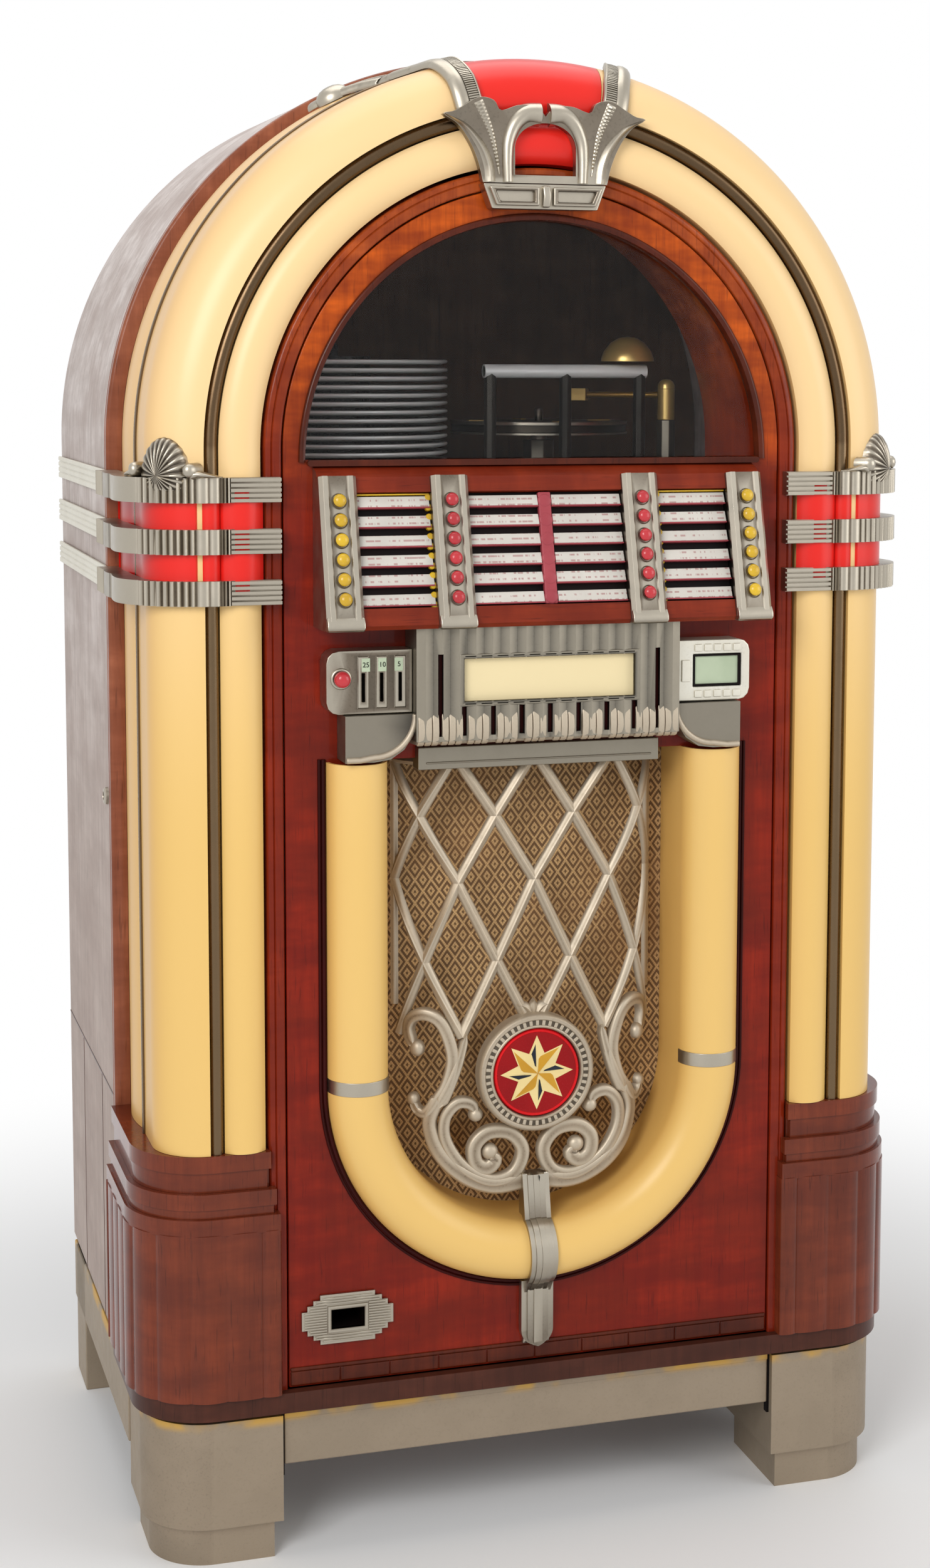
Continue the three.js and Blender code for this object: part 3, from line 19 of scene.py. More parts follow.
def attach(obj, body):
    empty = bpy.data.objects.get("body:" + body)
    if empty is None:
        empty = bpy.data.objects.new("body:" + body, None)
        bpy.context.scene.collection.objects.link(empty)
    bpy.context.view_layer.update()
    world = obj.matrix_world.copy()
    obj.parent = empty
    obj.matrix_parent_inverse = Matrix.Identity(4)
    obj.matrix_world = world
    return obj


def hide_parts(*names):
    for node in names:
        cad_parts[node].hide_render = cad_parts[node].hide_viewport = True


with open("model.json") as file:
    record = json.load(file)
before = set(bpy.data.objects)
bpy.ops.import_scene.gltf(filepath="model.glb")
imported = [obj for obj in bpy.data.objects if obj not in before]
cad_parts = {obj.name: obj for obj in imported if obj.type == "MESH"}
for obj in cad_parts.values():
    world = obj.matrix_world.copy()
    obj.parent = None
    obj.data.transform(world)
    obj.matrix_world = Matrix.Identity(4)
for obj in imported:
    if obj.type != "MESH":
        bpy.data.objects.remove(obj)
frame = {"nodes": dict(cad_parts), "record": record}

LOG = logging.getLogger("jukebox")
MM = 0.001
ARCH_Z = 1111.0
TURNTABLE_Y = 345.0
REED_STEP = 1.2
Point = tuple[float, float]
Line = Sequence[Point]
Colour = tuple[float, float, float]
Socket = bpy.types.NodeSocket


def door_plane() -> float:
    """Returns the y of the door's front face in metres, measured from the turntable's axis."""
    joints = frame["record"]["behaviour"]["joints"]
    return next(joint["pos_m"][1] for joint in joints if joint["name"] == "turntable_spin") - TURNTABLE_Y * MM


DOOR_Y = door_plane()


def at(x: float, y: float, z: float) -> Vector:
    """Turns a place in millimetres into one in the model's frame.

    Args:
        x: Distance to the right of the middle.
        y: Distance behind the door's front face.
        z: Height above the floor.

    Returns:
        The place in metres.
    """
    return Vector((x * MM, y * MM + DOOR_Y, z * MM))


def arc(x: float, y: float, radius: float, start: float, end: float, steps: int) -> list[Point]:
    """Returns points along an arc, both ends kept.

    Args:
        x: First coordinate of the centre.
        y: Second coordinate of the centre.
        radius: Radius of the arc.
        start: First angle in degrees.
        end: Last angle in degrees.
        steps: Number of spans.
    """
    turns = [math.radians(start + (end - start) * i / steps) for i in range(steps + 1)]
    return [(x + radius * math.cos(turn), y + radius * math.sin(turn)) for turn in turns]


def shift(x: float = 0.0, y: float = 0.0, z: float = 0.0) -> Matrix:
    """Returns a move by a distance in millimetres."""
    return Matrix.Translation(Vector((x, y, z)) * MM)


def about(spot: Vector, degrees: float, axis: str = "Y") -> Matrix:
    """Returns a turn about a place."""
    centre = Matrix.Translation(spot)
    return centre @ Matrix.Rotation(math.radians(degrees), 4, axis) @ centre.inverted()


def box_line(half: float, low: float, high: float) -> list[Point]:
    """Returns the outline of a box that is even about the middle."""
    return [(-half, low), (half, low), (half, high), (-half, high)]


def shifted(line: Line, steps: Sequence[float]) -> list[Point]:
    """Moves each point of a line square to it, to the right of its run.

    Args:
        line: The line.
        steps: How far each point moves.
    """
    moved = []
    for i, (x, y) in enumerate(line):
        (ax, ay), (bx, by) = line[max(i - 1, 0)], line[min(i + 1, len(line) - 1)]
        length = math.hypot(bx - ax, by - ay)
        moved.append((x + steps[i] * (by - ay) / length, y - steps[i] * (bx - ax) / length))
    return moved


def walled(line: Line, wall: float) -> list[Point]:
    """Returns an open line followed by its offset back again, as a thin closed wall.

    Args:
        line: The outer line.
        wall: Thickness to the left of the line's direction.
    """
    return [*line, *reversed(shifted(line, [-wall] * len(line)))]


def arch_outline(half: float, bottom: float, centre: float = ARCH_Z, steps: int = 96) -> list[Point]:
    """Returns the outline of an arch: two straight sides and a half circle.

    Args:
        half: Half the width, which is also the radius.
        bottom: Height of the foot.
        centre: Height of the half circle's centre.
        steps: Spans of the half circle.
    """
    if bottom > centre:
        lean = math.degrees(math.asin((bottom - centre) / half))
        return arc(0, centre, half, lean, 180 - lean, steps)
    count = max(1, round((centre - bottom) / 40))
    side = [(half, bottom + (centre - bottom) * i / count) for i in range(count)]
    return [*side, *arc(0, centre, half, 0, 180, steps), *mirrored(reversed(side), -1)]


class Plane(Enum):
    """The plane an outline is drawn on; the outline then grows along the remaining axis."""

    FRONT = "xz"
    PLAN = "xy"
    SIDE = "yz"

    def point(self, a: float, b: float, depth: float) -> Vector:
        """Places a point of an outline at a depth along the remaining axis."""
        if self is Plane.FRONT:
            return at(a, depth, b)
        if self is Plane.PLAN:
            return at(a, b, depth)
        return at(depth, a, b)

    def growth(self, length: float) -> Vector:
        """Returns the vector that grows an outline by a length."""
        return self.point(0, 0, length) - self.point(0, 0, 0)


class Turn(Enum):
    """The axis a turned piece turns about."""

    ACROSS = (1.0, 0.0, 0.0)
    DEEP = (0.0, 1.0, 0.0)
    UPRIGHT = (0.0, 0.0, 1.0)

    def point(self, x: float, y: float, z: float, radius: float, along: float) -> Vector:
        """Places a profile's point, given its radius and its place along the axis."""
        if self is Turn.ACROSS:
            return at(x + along, y + radius, z)
        if self is Turn.DEEP:
            return at(x + radius, y + along, z)
        return at(x + radius, y, z + along)


class Form:
    """A mesh in the making; its points are given in millimetres."""

    def __init__(self) -> None:
        """Starts an empty mesh."""
        self.mesh = bmesh.new()

    @classmethod
    def of_node(cls, node: str) -> "Form":
        """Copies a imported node, with its doubles merged and its flat triangles joined.

        Args:
            node: Name of the node.
        """
        form = cls()
        form.mesh.from_mesh(frame["nodes"][node].data)
        bmesh.ops.remove_doubles(form.mesh, verts=form.mesh.verts, dist=4e-6)
        bmesh.ops.dissolve_limit(
            form.mesh, angle_limit=math.radians(0.8), verts=form.mesh.verts, edges=form.mesh.edges)
        return form

    def prism(self, plane: Plane, outline: Line, start: float, end: float,
              holes: Sequence[Line] = ()) -> None:
        """Grows a flat outline, with its holes, into a solid.

        Args:
            plane: Plane of the outline.
            outline: Points of the outline.
            start: Where the solid starts along the remaining axis.
            end: Where it ends.
            holes: Outlines of the holes.
        """
        edges = []
        for ring in (outline, *holes):
            verts = [self.mesh.verts.new(plane.point(a, b, start)) for a, b in ring]
            edges += [self.mesh.edges.new(pair) for pair in zip(verts, verts[1:] + verts[:1])]
        made = bmesh.ops.triangle_fill(self.mesh, use_beauty=True, use_dissolve=False, edges=edges)
        faces = [item for item in made["geom"] if isinstance(item, bmesh.types.BMFace)]
        grown = bmesh.ops.extrude_face_region(self.mesh, geom=faces)
        moved = [item for item in grown["geom"] if isinstance(item, bmesh.types.BMVert)]
        bmesh.ops.translate(self.mesh, verts=moved, vec=plane.growth(end - start))

    def block(self, corner: Sequence[float], other: Sequence[float]) -> None:
        """Adds a box between two opposite corners."""
        a, b = at(*map(min, corner, other)), at(*map(max, corner, other))
        place = Matrix.Translation((a + b) / 2) @ Matrix.Diagonal((*(b - a), 1.0))
        bmesh.ops.create_cube(self.mesh, size=1.0, matrix=place)

    def turn(self, profile: Line, centre: Sequence[float], axis: Turn, steps: int = 48) -> None:
        """Spins a profile of radius and place along the axis into a closed round piece.

        Args:
            profile: Points of radius and distance along the axis, both ends on the axis.
            centre: Place that the profile is measured from.
            axis: Axis of the turn.
            steps: Sides of the round piece.
        """
        verts = [self.mesh.verts.new(axis.point(*centre, radius, along)) for radius, along in profile]
        edges = [self.mesh.edges.new(pair) for pair in zip(verts, verts[1:])]
        bmesh.ops.spin(self.mesh, geom=[*verts, *edges], cent=at(*centre), axis=axis.value, angle=math.tau,
                       steps=steps, use_merge=True, use_duplicate=False)
        bmesh.ops.remove_doubles(self.mesh, verts=self.mesh.verts, dist=1e-6)

    def lay(self, place: Matrix) -> None:
        """Moves the whole mesh by a matrix."""
        bmesh.ops.transform(self.mesh, matrix=place, verts=self.mesh.verts)

    def remap(self, rule: Callable[[Vector], Vector]) -> None:
        """Moves each point by a rule that works in millimetres from the door's front face."""
        for vert in self.mesh.verts:
            vert.co = at(*rule((vert.co - at(0, 0, 0)) / MM))

    def sweep(self, section: Sequence[Vector], frames: Sequence[Matrix], capped: bool = True,
              ring: bool = False) -> None:
        """Extrudes a section step by step through a row of frames.

        Args:
            section: Points of the section, in metres, as the first frame finds them.
            frames: Where each step carries the section.
            capped: Whether the two ends are closed.
            ring: Whether the section is a closed loop.
        """
        verts = [self.mesh.verts.new(frames[0] @ point) for point in section]
        pairs = zip(verts, verts[1:] + verts[:1]) if ring else zip(verts, verts[1:])
        edges = [self.mesh.edges.new(pair) for pair in pairs]
        first = edges
        for before, after in zip(frames, frames[1:]):
            grown = bmesh.ops.extrude_edge_only(self.mesh, edges=edges)
            moved = {item for item in grown["geom"] if isinstance(item, bmesh.types.BMVert)}
            edges = [item for item in grown["geom"] if isinstance(item, bmesh.types.BMEdge)
                     and item.verts[0] in moved and item.verts[1] in moved]
            bmesh.ops.transform(self.mesh, matrix=after @ before.inverted(), verts=list(moved))
        if capped:
            for edge_loop in (first, edges):
                bmesh.ops.contextual_create(self.mesh, geom=edge_loop)

    def take(self, other: "Form") -> None:
        """Adds another mesh to this one and closes it."""
        data = bpy.data.meshes.new("part")
        other.mesh.to_mesh(data)
        other.mesh.free()
        self.mesh.from_mesh(data)
        bpy.data.meshes.remove(data)

    def mark(self, slot: int, test: Callable[[Vector, Vector], bool]) -> None:
        """Gives the faces that pass a test another material slot.

        Args:
            slot: Index of the material.
            test: Takes a face's centre in millimetres from the door's face, and its normal.
        """
        for face in self.mesh.faces:
            centre = (face.calc_center_median() - Vector((0, DOOR_Y, 0))) / MM
            if test(centre, face.normal):
                face.material_index = slot

    def finish(self, name: str, body: str, looks: "Finish | Sequence[Finish]", slot: str, node: str = "",
               bevel: float = 0.0, segments: int = 2, sharp: float = 35.0, tidy: bool = True) -> None:
        """Makes the object, gives it its finish and fixes it to its body.

        Args:
            name: Name of the piece.
            body: Body that it rides on.
            looks: Its finish, or one for each material slot.
            slot: The record's material slot.
            node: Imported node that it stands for, if any.
            bevel: Width of the edge bevel in millimetres, or 0 for none.
            segments: Segments of the bevel.
            sharp: Angle over which an edge stays sharp, in degrees.
            tidy: Whether its faces are turned outwards here.
        """
        if tidy:
            bmesh.ops.remove_doubles(self.mesh, verts=self.mesh.verts, dist=1e-6)
            bmesh.ops.recalc_face_normals(self.mesh, faces=self.mesh.faces)
        data = bpy.data.meshes.new(name)
        self.mesh.to_mesh(data)
        self.mesh.free()
        data.shade_smooth()
        for look in (looks if isinstance(looks, (list, tuple)) else [looks]):
            data.materials.append(look.material())
        piece = bpy.data.objects.new(name, data)
        bpy.context.scene.collection.objects.link(piece)
        if bevel:
            edge = piece.modifiers.new("edge", "BEVEL")
            edge.width = bevel * MM
            edge.segments = segments
            edge.limit_method = "ANGLE"
            edge.angle_limit = math.radians(sharp)
            edge.use_clamp_overlap = True
            even = piece.modifiers.new("even", "WEIGHTED_NORMAL")
            even.keep_sharp = True
        else:
            data.set_sharp_from_angle(angle=math.radians(sharp))
        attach(piece, body)
        if node:
            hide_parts(node)
        LOG.info("%s rides on %s with %d faces", name, body, len(data.polygons))


def arch_frames(bottom: float, end: float = 90.0, steps: int = 48, side: int = 1) -> list[Matrix]:
    """Returns the frames that carry a section up one side and round the arch.

    Args:
        bottom: Height the section starts at.
        end: Angle above the springing at which it stops, in degrees.
        steps: Spans of the arc.
        side: 1 for the right-hand side, -1 for the left.
    """
    rise = shift(z=ARCH_Z - bottom)
    arch = [about(at(0, 0, ARCH_Z), -side * end * i / steps) @ rise for i in range(steps + 1)]
    return [Matrix.Identity(4), *arch, *([rise.inverted() @ arch[-1]] if end == 180 else [])]


def path_frames(points: Line, widths: Sequence[float]) -> list[Matrix]:
    """Returns frames along a line on the front plane, turned and widened to follow it.

    Args:
        points: Points of x and height.
        widths: How much the section is widened at each point.
    """
    frames = []
    for i, (x, z) in enumerate(points):
        ax, az = points[max(i - 1, 0)]
        bx, bz = points[min(i + 1, len(points) - 1)]
        lean = math.atan2(bx - ax, bz - az)
        size = Matrix.Diagonal((widths[i], 1.0, 1.0, 1.0))
        frames.append(Matrix.Translation(at(x, 0, z)) @ Matrix.Rotation(lean, 4, "Y") @ size)
    return frames


def u_frames(bend: float, top: float, steps: int = 48) -> list[Matrix]:
    """Returns the frames that carry a section down the left side, round the bend and up the right.

    Args:
        bend: Height of the bend's centre.
        top: Height of both ends.
        steps: Spans of the bend.
    """
    rise = shift(z=top - bend)
    half = [about(at(0, 0, bend), -180 * i / steps) for i in range(steps + 1)]
    return [rise, *half, half[-1] @ rise.inverted()]


def smooth_line(points: Line, steps: int) -> list[Point]:
    """Returns a smooth line through a few points, evenly spaced.

    Args:
        points: The points it passes through.
        steps: Number of spans.
    """
    ends = [points[0], *points, points[-1]]
    fine: list[Point] = []
    for a, b, c, d in zip(ends, ends[1:], ends[2:], ends[3:]):
        for i in range(16):
            t = i / 16
            fine.append(tuple(0.5 * (2 * q + (r - p) * t + (2 * p - 5 * q + 4 * r - s) * t ** 2
                                     + (3 * q - p - 3 * r + s) * t ** 3)
                              for p, q, r, s in zip(a, b, c, d)))
    fine.append(points[-1])
    return spaced(fine, steps)


def spaced(line: Line, steps: int) -> list[Point]:
    """Returns points evenly spaced along a line.

    Args:
        line: Points of the line.
        steps: Number of spans.
    """
    lengths = [0.0]
    for (ax, ay), (bx, by) in zip(line, line[1:]):
        lengths.append(lengths[-1] + math.hypot(bx - ax, by - ay))
    found, k = [], 0
    for i in range(steps + 1):
        want = lengths[-1] * i / steps
        while k < len(line) - 2 and lengths[k + 1] < want:
            k += 1
        part = (want - lengths[k]) / (lengths[k + 1] - lengths[k])
        found.append((line[k][0] + (line[k + 1][0] - line[k][0]) * part,
                      line[k][1] + (line[k + 1][1] - line[k][1]) * part))
    return found


def reeded(line: Line, stops: Sequence[float], rise: float, ridges: Sequence[float] = ()) -> list[Point]:
    """Raises a line into convex reeds between stops along it.

    Args:
        line: The line, drawn so that its left side faces in.
        stops: Places of the grooves, as lengths along the line.
        rise: How far the middle of a reed stands out.
        ridges: Those stops whose reeds are narrow ridges between wide valleys.
    """
    total = sum(math.hypot(bx - ax, by - ay) for (ax, ay), (bx, by) in zip(line, line[1:]))
    points = spaced(line, int(total / REED_STEP))
    lifts = []
    for i in range(len(points)):
        along = total * i / (len(points) - 1)
        low = max([stop for stop in stops if stop <= along], default=0.0)
        high = min([stop for stop in stops if stop > along], default=total)
        part = (along - low) / max(high - low, 1e-6)
        lifts.append(rise * max(0.0, 1 - (2 * part - 1) ** 2) ** (1.6 if low in ridges else 0.5))
    return shifted(points, lifts)


def mirrored(outline: Line, side: int) -> list[Point]:
    """Returns an outline as it is for side 1, or its mirror image for side -1."""
    return [(side * x, y) for x, y in outline]


class Nodes:
    """A node tree in the making."""

    def __init__(self, tree: bpy.types.NodeTree) -> None:
        """Takes the tree and empties it."""
        self.tree = tree
        tree.nodes.clear()

    def add(self, kind: str, inputs: dict | None = None, **settings: object) -> bpy.types.Node:
        """Adds a node.

        Args:
            kind: The node's type, without its prefix.
            inputs: Values or sockets for its inputs, by name or number.
            **settings: Its other settings.

        Returns:
            The node.
        """
        node = self.tree.nodes.new(f"ShaderNode{kind}")
        for key, value in settings.items():
            setattr(node, key, value)
        for key, value in (inputs or {}).items():
            if isinstance(value, Socket):
                self.tree.links.new(value, node.inputs[key])
            else:
                node.inputs[key].default_value = value
        return node

    def math(self, kind: str, *values: object) -> Socket:
        """Adds a sum of numbers or sockets and returns its result."""
        return self.add("Math", dict(enumerate(values)), operation=kind).outputs[0]

    def times(self, first: object, second: object) -> Socket:
        """Multiplies two numbers or sockets."""
        return self.math("MULTIPLY", first, second)

    def span(self, value: Socket, low: float, high: float) -> Socket:
        """Maps a value smoothly to 0 at one place and 1 at another."""
        return self.add("MapRange", {"Value": value, "From Min": low, "From Max": high},
                        interpolation_type="SMOOTHSTEP").outputs["Result"]

    def mix(self, factor: object, first: object, second: object) -> Socket:
        """Mixes two colours, each a socket or the display's numbers."""
        pair = [value if isinstance(value, Socket) else (*linear(value), 1.0) for value in (first, second)]
        return self.add("Mix", {0: factor, 6: pair[0], 7: pair[1]}, data_type="RGBA").outputs[2]

    def place(self, scale: object = (1, 1, 1)) -> Socket:
        """Returns the place on the object in metres, stretched by a scale."""
        coords = self.add("TexCoord").outputs["Object"]
        return self.add("VectorMath", {0: coords, 1: scale}, operation="MULTIPLY").outputs[0]

    def height(self) -> Socket:
        """Returns the height above the floor in metres."""
        return self.add("SeparateXYZ", {0: self.place()}).outputs[2]

    def noise(self, scale: object, detail: float = 4.0, rough: float = 0.55) -> Socket:
        """Returns noise over the object, one unit to each stretched metre."""
        return self.add("TexNoise", {"Vector": self.place(scale), "Scale": 1.0, "Detail": detail,
                                     "Roughness": rough}).outputs["Fac"]

    def bump(self, height: Socket, strength: float, depth: float) -> Socket:
        """Returns the normal of a height map; the depth is in millimetres."""
        return self.add("Bump", {"Height": height, "Strength": strength, "Distance": depth * MM}).outputs["Normal"]

    def take(self, *labels: str) -> list[Socket]:
        """Gives a group its named inputs, each a stretch in three directions, and returns them."""
        for label in labels:
            self.tree.interface.new_socket(label, in_out="INPUT", socket_type="NodeSocketVector")
        return list(self.tree.nodes.new("NodeGroupInput").outputs)[:len(labels)]

    def give(self, outputs: dict[str, Socket]) -> bpy.types.NodeTree:
        """Gives a group its named outputs and returns its tree."""
        for label in outputs:
            self.tree.interface.new_socket(label, in_out="OUTPUT", socket_type="NodeSocketFloat")
        end = self.tree.nodes.new("NodeGroupOutput")
        for label, socket in outputs.items():
            self.tree.links.new(socket, end.inputs[label])
        return self.tree


def new_group(name: str) -> Nodes:
    """Starts a shared node group."""
    return Nodes(bpy.data.node_groups.new(name, "ShaderNodeTree"))


@lru_cache(maxsize=None)
def age_and_shade_group() -> bpy.types.NodeTree:
    """Returns the group of old age and painted light: broad blotches, fine specks, dirt with painted shade in hollows,
    and worn high edges with painted highlights.
    """
    nodes = new_group("age_and_shade")
    blotches, specks = nodes.take("Blotches", "Specks")
    # Pointiness finds hollows and high edges: hollows take dirt with painted shade, high edges take worn metal with
    # painted highlights.
    point = nodes.add("NewGeometry").outputs["Pointiness"]
    return nodes.give({"Blotch": nodes.span(nodes.noise(blotches, 5.0), 0.38, 0.66),
                       "Speck": nodes.span(nodes.noise(specks, 2.0), 0.52, 0.72),
                       "ShadeAndGrime": nodes.span(point, 0.5, 0.47), "WornEdgeAndHighlight": nodes.span(point, 0.505, 0.54)})


@lru_cache(maxsize=None)
def grain_group() -> bpy.types.NodeTree:
    """Returns the group of wood grain: fibres, the broad figure that crosses them, and pores."""
    nodes = new_group("grain")
    fibres, figures = nodes.take("Fibres", "Figures")
    pores = nodes.add("VectorMath", {0: fibres, 1: (5, 5, 5)}, operation="MULTIPLY").outputs[0]
    return nodes.give({"Fibre": nodes.span(nodes.noise(fibres, 8.0, 0.65), 0.32, 0.68),
                       "Figure": nodes.span(nodes.noise(figures, 4.0, 0.6), 0.35, 0.65),
                       "Pore": nodes.span(nodes.noise(pores, 2.0), 0.6, 0.72)})


@lru_cache(maxsize=None)
def weave_group() -> bpy.types.NodeTree:
    nodes = new_group("weave")
    parts = nodes.add("SeparateXYZ", {0: nodes.place(nodes.take("Repeats")[0])}).outputs
    folds = [nodes.math("ABSOLUTE", nodes.math("SUBTRACT", nodes.math("FRACT", parts[k]), 0.5)) for k in (0, 2)]
    ring = nodes.times(nodes.math("ADD", *folds), 3.0)
    wave = nodes.math("ABSOLUTE", nodes.math("SUBTRACT", nodes.math("FRACT", ring), 0.5))
    check = nodes.add("TexChecker", {"Vector": nodes.place((620, 620, 620)), "Scale": 1.0}).outputs["Fac"]
    return nodes.give({"Diamond": nodes.span(wave, 0.18, 0.3), "Thread": check})


class Grain(Enum):
    """Which way a board's fibres run: the stretch of its fibres and of its figure."""

    UPRIGHT = ((90, 90, 5), (7, 7, 26))
    LEVEL = ((5, 90, 90), (22, 7, 7))


def linear(colour: Sequence[float]) -> Colour:
    """Turns a colour from the display's numbers into light."""
    return tuple(v / 12.92 if v <= 0.04045 else ((v + 0.055) / 1.055) ** 2.4 for v in colour)


@dataclass(frozen=True)
class Finish:
    """A surface with one colour, light marks of age and painted shade in its hollows; the other finishes build on it.

    Attributes:
        name: Name of the material.
        colour: Colour in the display's numbers.
        roughness: Roughness of the surface.
        aged: Colour of its blotches; a darker share of it is the dirt and painted shade in its hollows.
        age: How strong they are; in a plain finish the dirt and painted shade in hollows grow with it.
        gloss: How much light its bare surface mirrors.
    """

    name: str
    colour: Colour
    roughness: float = 0.4
    aged: Colour = (0.3, 0.25, 0.2)
    age: float = 0.15
    gloss: float = 0.25

    @lru_cache(maxsize=None)
    def material(self) -> bpy.types.Material:
        """Builds the material, once."""
        material = bpy.data.materials.new(self.name)
        material.use_nodes = True
        nodes = Nodes(material.node_tree)
        shader = nodes.add("BsdfPrincipled", {"Roughness": self.roughness, **self.inputs(nodes)})
        nodes.add("OutputMaterial", {"Surface": self.surface(nodes, shader.outputs[0])})
        return material

    def surface(self, _nodes: Nodes, shader: Socket) -> Socket:
        """Returns what covers the piece, here the plain shader."""
        return shader

    def age_and_shade(self, nodes: Nodes) -> bpy.types.bpy_prop_collection:
        """Adds the marks of age, with painted shade in hollows and painted highlights on high edges, and returns them
        by name.
        """
        return nodes.add("Group", {"Blotches": (14, 14, 14), "Specks": (420, 420, 420)},
                         node_tree=age_and_shade_group()).outputs

    def inputs(self, nodes: Nodes) -> dict[str, object]:
        """Returns what goes into the shader.

        Args:
            nodes: The material's nodes.
        """
        age_and_shade = self.age_and_shade(nodes)
        colour = nodes.mix(nodes.times(age_and_shade["Blotch"], self.age), self.colour, self.aged)
        # Dirt with painted shade: hollows darken towards a dark share of the blotch colour.
        shade_and_grime = nodes.times(age_and_shade["ShadeAndGrime"], min(1.0, 2 * self.age))
        return {"Base Color": nodes.mix(shade_and_grime, colour, [0.4 * v for v in self.aged]), "Specular IOR Level": self.gloss,
                "Roughness": nodes.math("MULTIPLY_ADD", age_and_shade["Speck"], 0.08, self.roughness)}


@dataclass(frozen=True)
class Veneer(Finish):
    """Polished wood.

    Attributes:
        dark: Colour of the dark fibres.
        grain: Which way the fibres run.
        figure: Strength of the broad figure.
        glow: Colour towards the top, if it differs.
        glow_from: Height at which the glow starts, in millimetres.
        glow_to: Height at which it is full.
        coat: Weight of the varnish.
    """

    gloss: float = 0.12
    dark: Colour = (0.25, 0.07, 0.04)
    grain: Grain = Grain.UPRIGHT
    figure: float = 0.5
    glow: Colour | None = None
    glow_from: float = 1060.0
    glow_to: float = 1200.0
    coat: float = 0.15

    def inputs(self, nodes: Nodes) -> dict[str, object]:
        """Returns what goes into the shader.

        Args:
            nodes: The material's nodes.
        """
        fibres, figures = self.grain.value
        grain = nodes.add("Group", {"Fibres": fibres, "Figures": figures}, node_tree=grain_group()).outputs
        colour: object = self.colour
        if self.glow:
            colour = nodes.mix(nodes.span(nodes.height(), self.glow_from * MM, self.glow_to * MM), colour, self.glow)
        colour = nodes.mix(nodes.times(grain["Fibre"], 0.4), colour, self.dark)
        colour = nodes.mix(nodes.times(grain["Figure"], self.figure), colour, self.dark)
        colour = nodes.mix(nodes.times(self.age_and_shade(nodes)["Blotch"], self.age), colour, self.aged)
        colour = nodes.mix(nodes.times(grain["Pore"], 0.35), colour, [0.45 * v for v in self.dark])
        return {"Base Color": colour, "Specular IOR Level": self.gloss, "Coat Weight": self.coat,
                "Coat Roughness": 0.06, "Normal": nodes.bump(grain["Pore"], 0.25, -0.2)}


@dataclass(frozen=True)
class LitPlastic(Finish):
    """Translucent plastic with a painted glow, as if lit a little from behind, and painted shade on the faces that
    turn away from the front.

    Attributes:
        low: Colour at the foot.
        low_at: Height where the foot's colour is full, in millimetres.
        high_at: Height where it has gone.
        glow: Strength of its painted glow, a light of its own with no lamp behind it.
        painted_shade: Colour of the painted shade on the faces that turn away from the front.
        painted_shade_weight: How strongly those faces take the painted shade.
    """

    gloss: float = 0.35
    low: Colour = (0.9, 0.78, 0.48)
    low_at: float = 700.0
    high_at: float = 1200.0
    glow: float = 0.02
    painted_shade: Colour = (0.8, 0.58, 0.26)
    painted_shade_weight: float = 0.5

    def inputs(self, nodes: Nodes) -> dict[str, object]:
        """Returns what goes into the shader.

        Args:
            nodes: The material's nodes.
        """
        colour = nodes.mix(nodes.span(nodes.height(), self.low_at * MM, self.high_at * MM), self.low, self.colour)
        # Painted shade: faces that turn away from the front darken towards the shade colour.
        facing = nodes.add("SeparateXYZ", {0: nodes.add("TexCoord").outputs["Normal"]}).outputs[1]
        turned = nodes.span(nodes.math("ABSOLUTE", facing), 0.85, 0.05)
        colour = nodes.mix(nodes.times(turned, self.painted_shade_weight), colour, self.painted_shade)
        colour = nodes.mix(nodes.times(nodes.noise((9, 9, 3), 3.0), 0.15), colour, self.aged)
        # Painted glow: the plastic gives out a little light in its own colour.
        return {"Base Color": colour, "Emission Color": colour, "Emission Strength": self.glow,
                "Specular IOR Level": self.gloss, "Normal": nodes.bump(nodes.noise((30, 30, 12), 2.0), 0.2, 0.6)}


@dataclass(frozen=True)
class CastMetal(Finish):
    """Plated or bare cast metal with tarnish in its corners and bright worn edges.

    Attributes:
        worn_highlight: Colour of the worn edges, which is also their painted highlight.
        pitting: Depth of its casting skin in millimetres.
        metallic: How metallic it is.
        worn: Colour where its plating has gone along its upper edge, or none.
        worn_at: Height of that edge in millimetres.
    """

    worn_highlight: Colour = (0.86, 0.84, 0.78)
    pitting: float = 0.25
    metallic: float = 1.0
    worn: Colour | None = None
    worn_at: float = 147.0

    def inputs(self, nodes: Nodes) -> dict[str, object]:
        """Returns what goes into the shader.

        Args:
            nodes: The material's nodes.
        """
        age_and_shade = self.age_and_shade(nodes)
        skin = nodes.noise((60, 60, 60), 6.0, 0.6)
        tarnish = nodes.times(nodes.math("ADD", age_and_shade["Blotch"], age_and_shade["Speck"]), self.age)
        colour = nodes.mix(tarnish, self.colour, self.aged)
        # Dirt with painted shade: hollows darken towards a dark share of the tarnish colour.
        colour = nodes.mix(nodes.times(age_and_shade["ShadeAndGrime"], 0.75), colour, [0.35 * v for v in self.aged])
        # Worn edges with painted highlights: high edges lighten towards the worn highlight colour.
        colour = nodes.mix(nodes.times(age_and_shade["WornEdgeAndHighlight"], 0.7), colour, self.worn_highlight)
        if self.worn:
            near = nodes.span(nodes.height(), (self.worn_at - 9) * MM, self.worn_at * MM)
            patch = nodes.span(nodes.noise((16, 16, 16), 3.0), 0.44, 0.6)
            colour = nodes.mix(nodes.times(near, patch), colour, self.worn)
        return {"Base Color": colour, "Metallic": self.metallic, "Normal": nodes.bump(skin, 0.35, self.pitting),
                "Roughness": nodes.math("MULTIPLY_ADD", skin, 0.3, self.roughness - 0.12)}


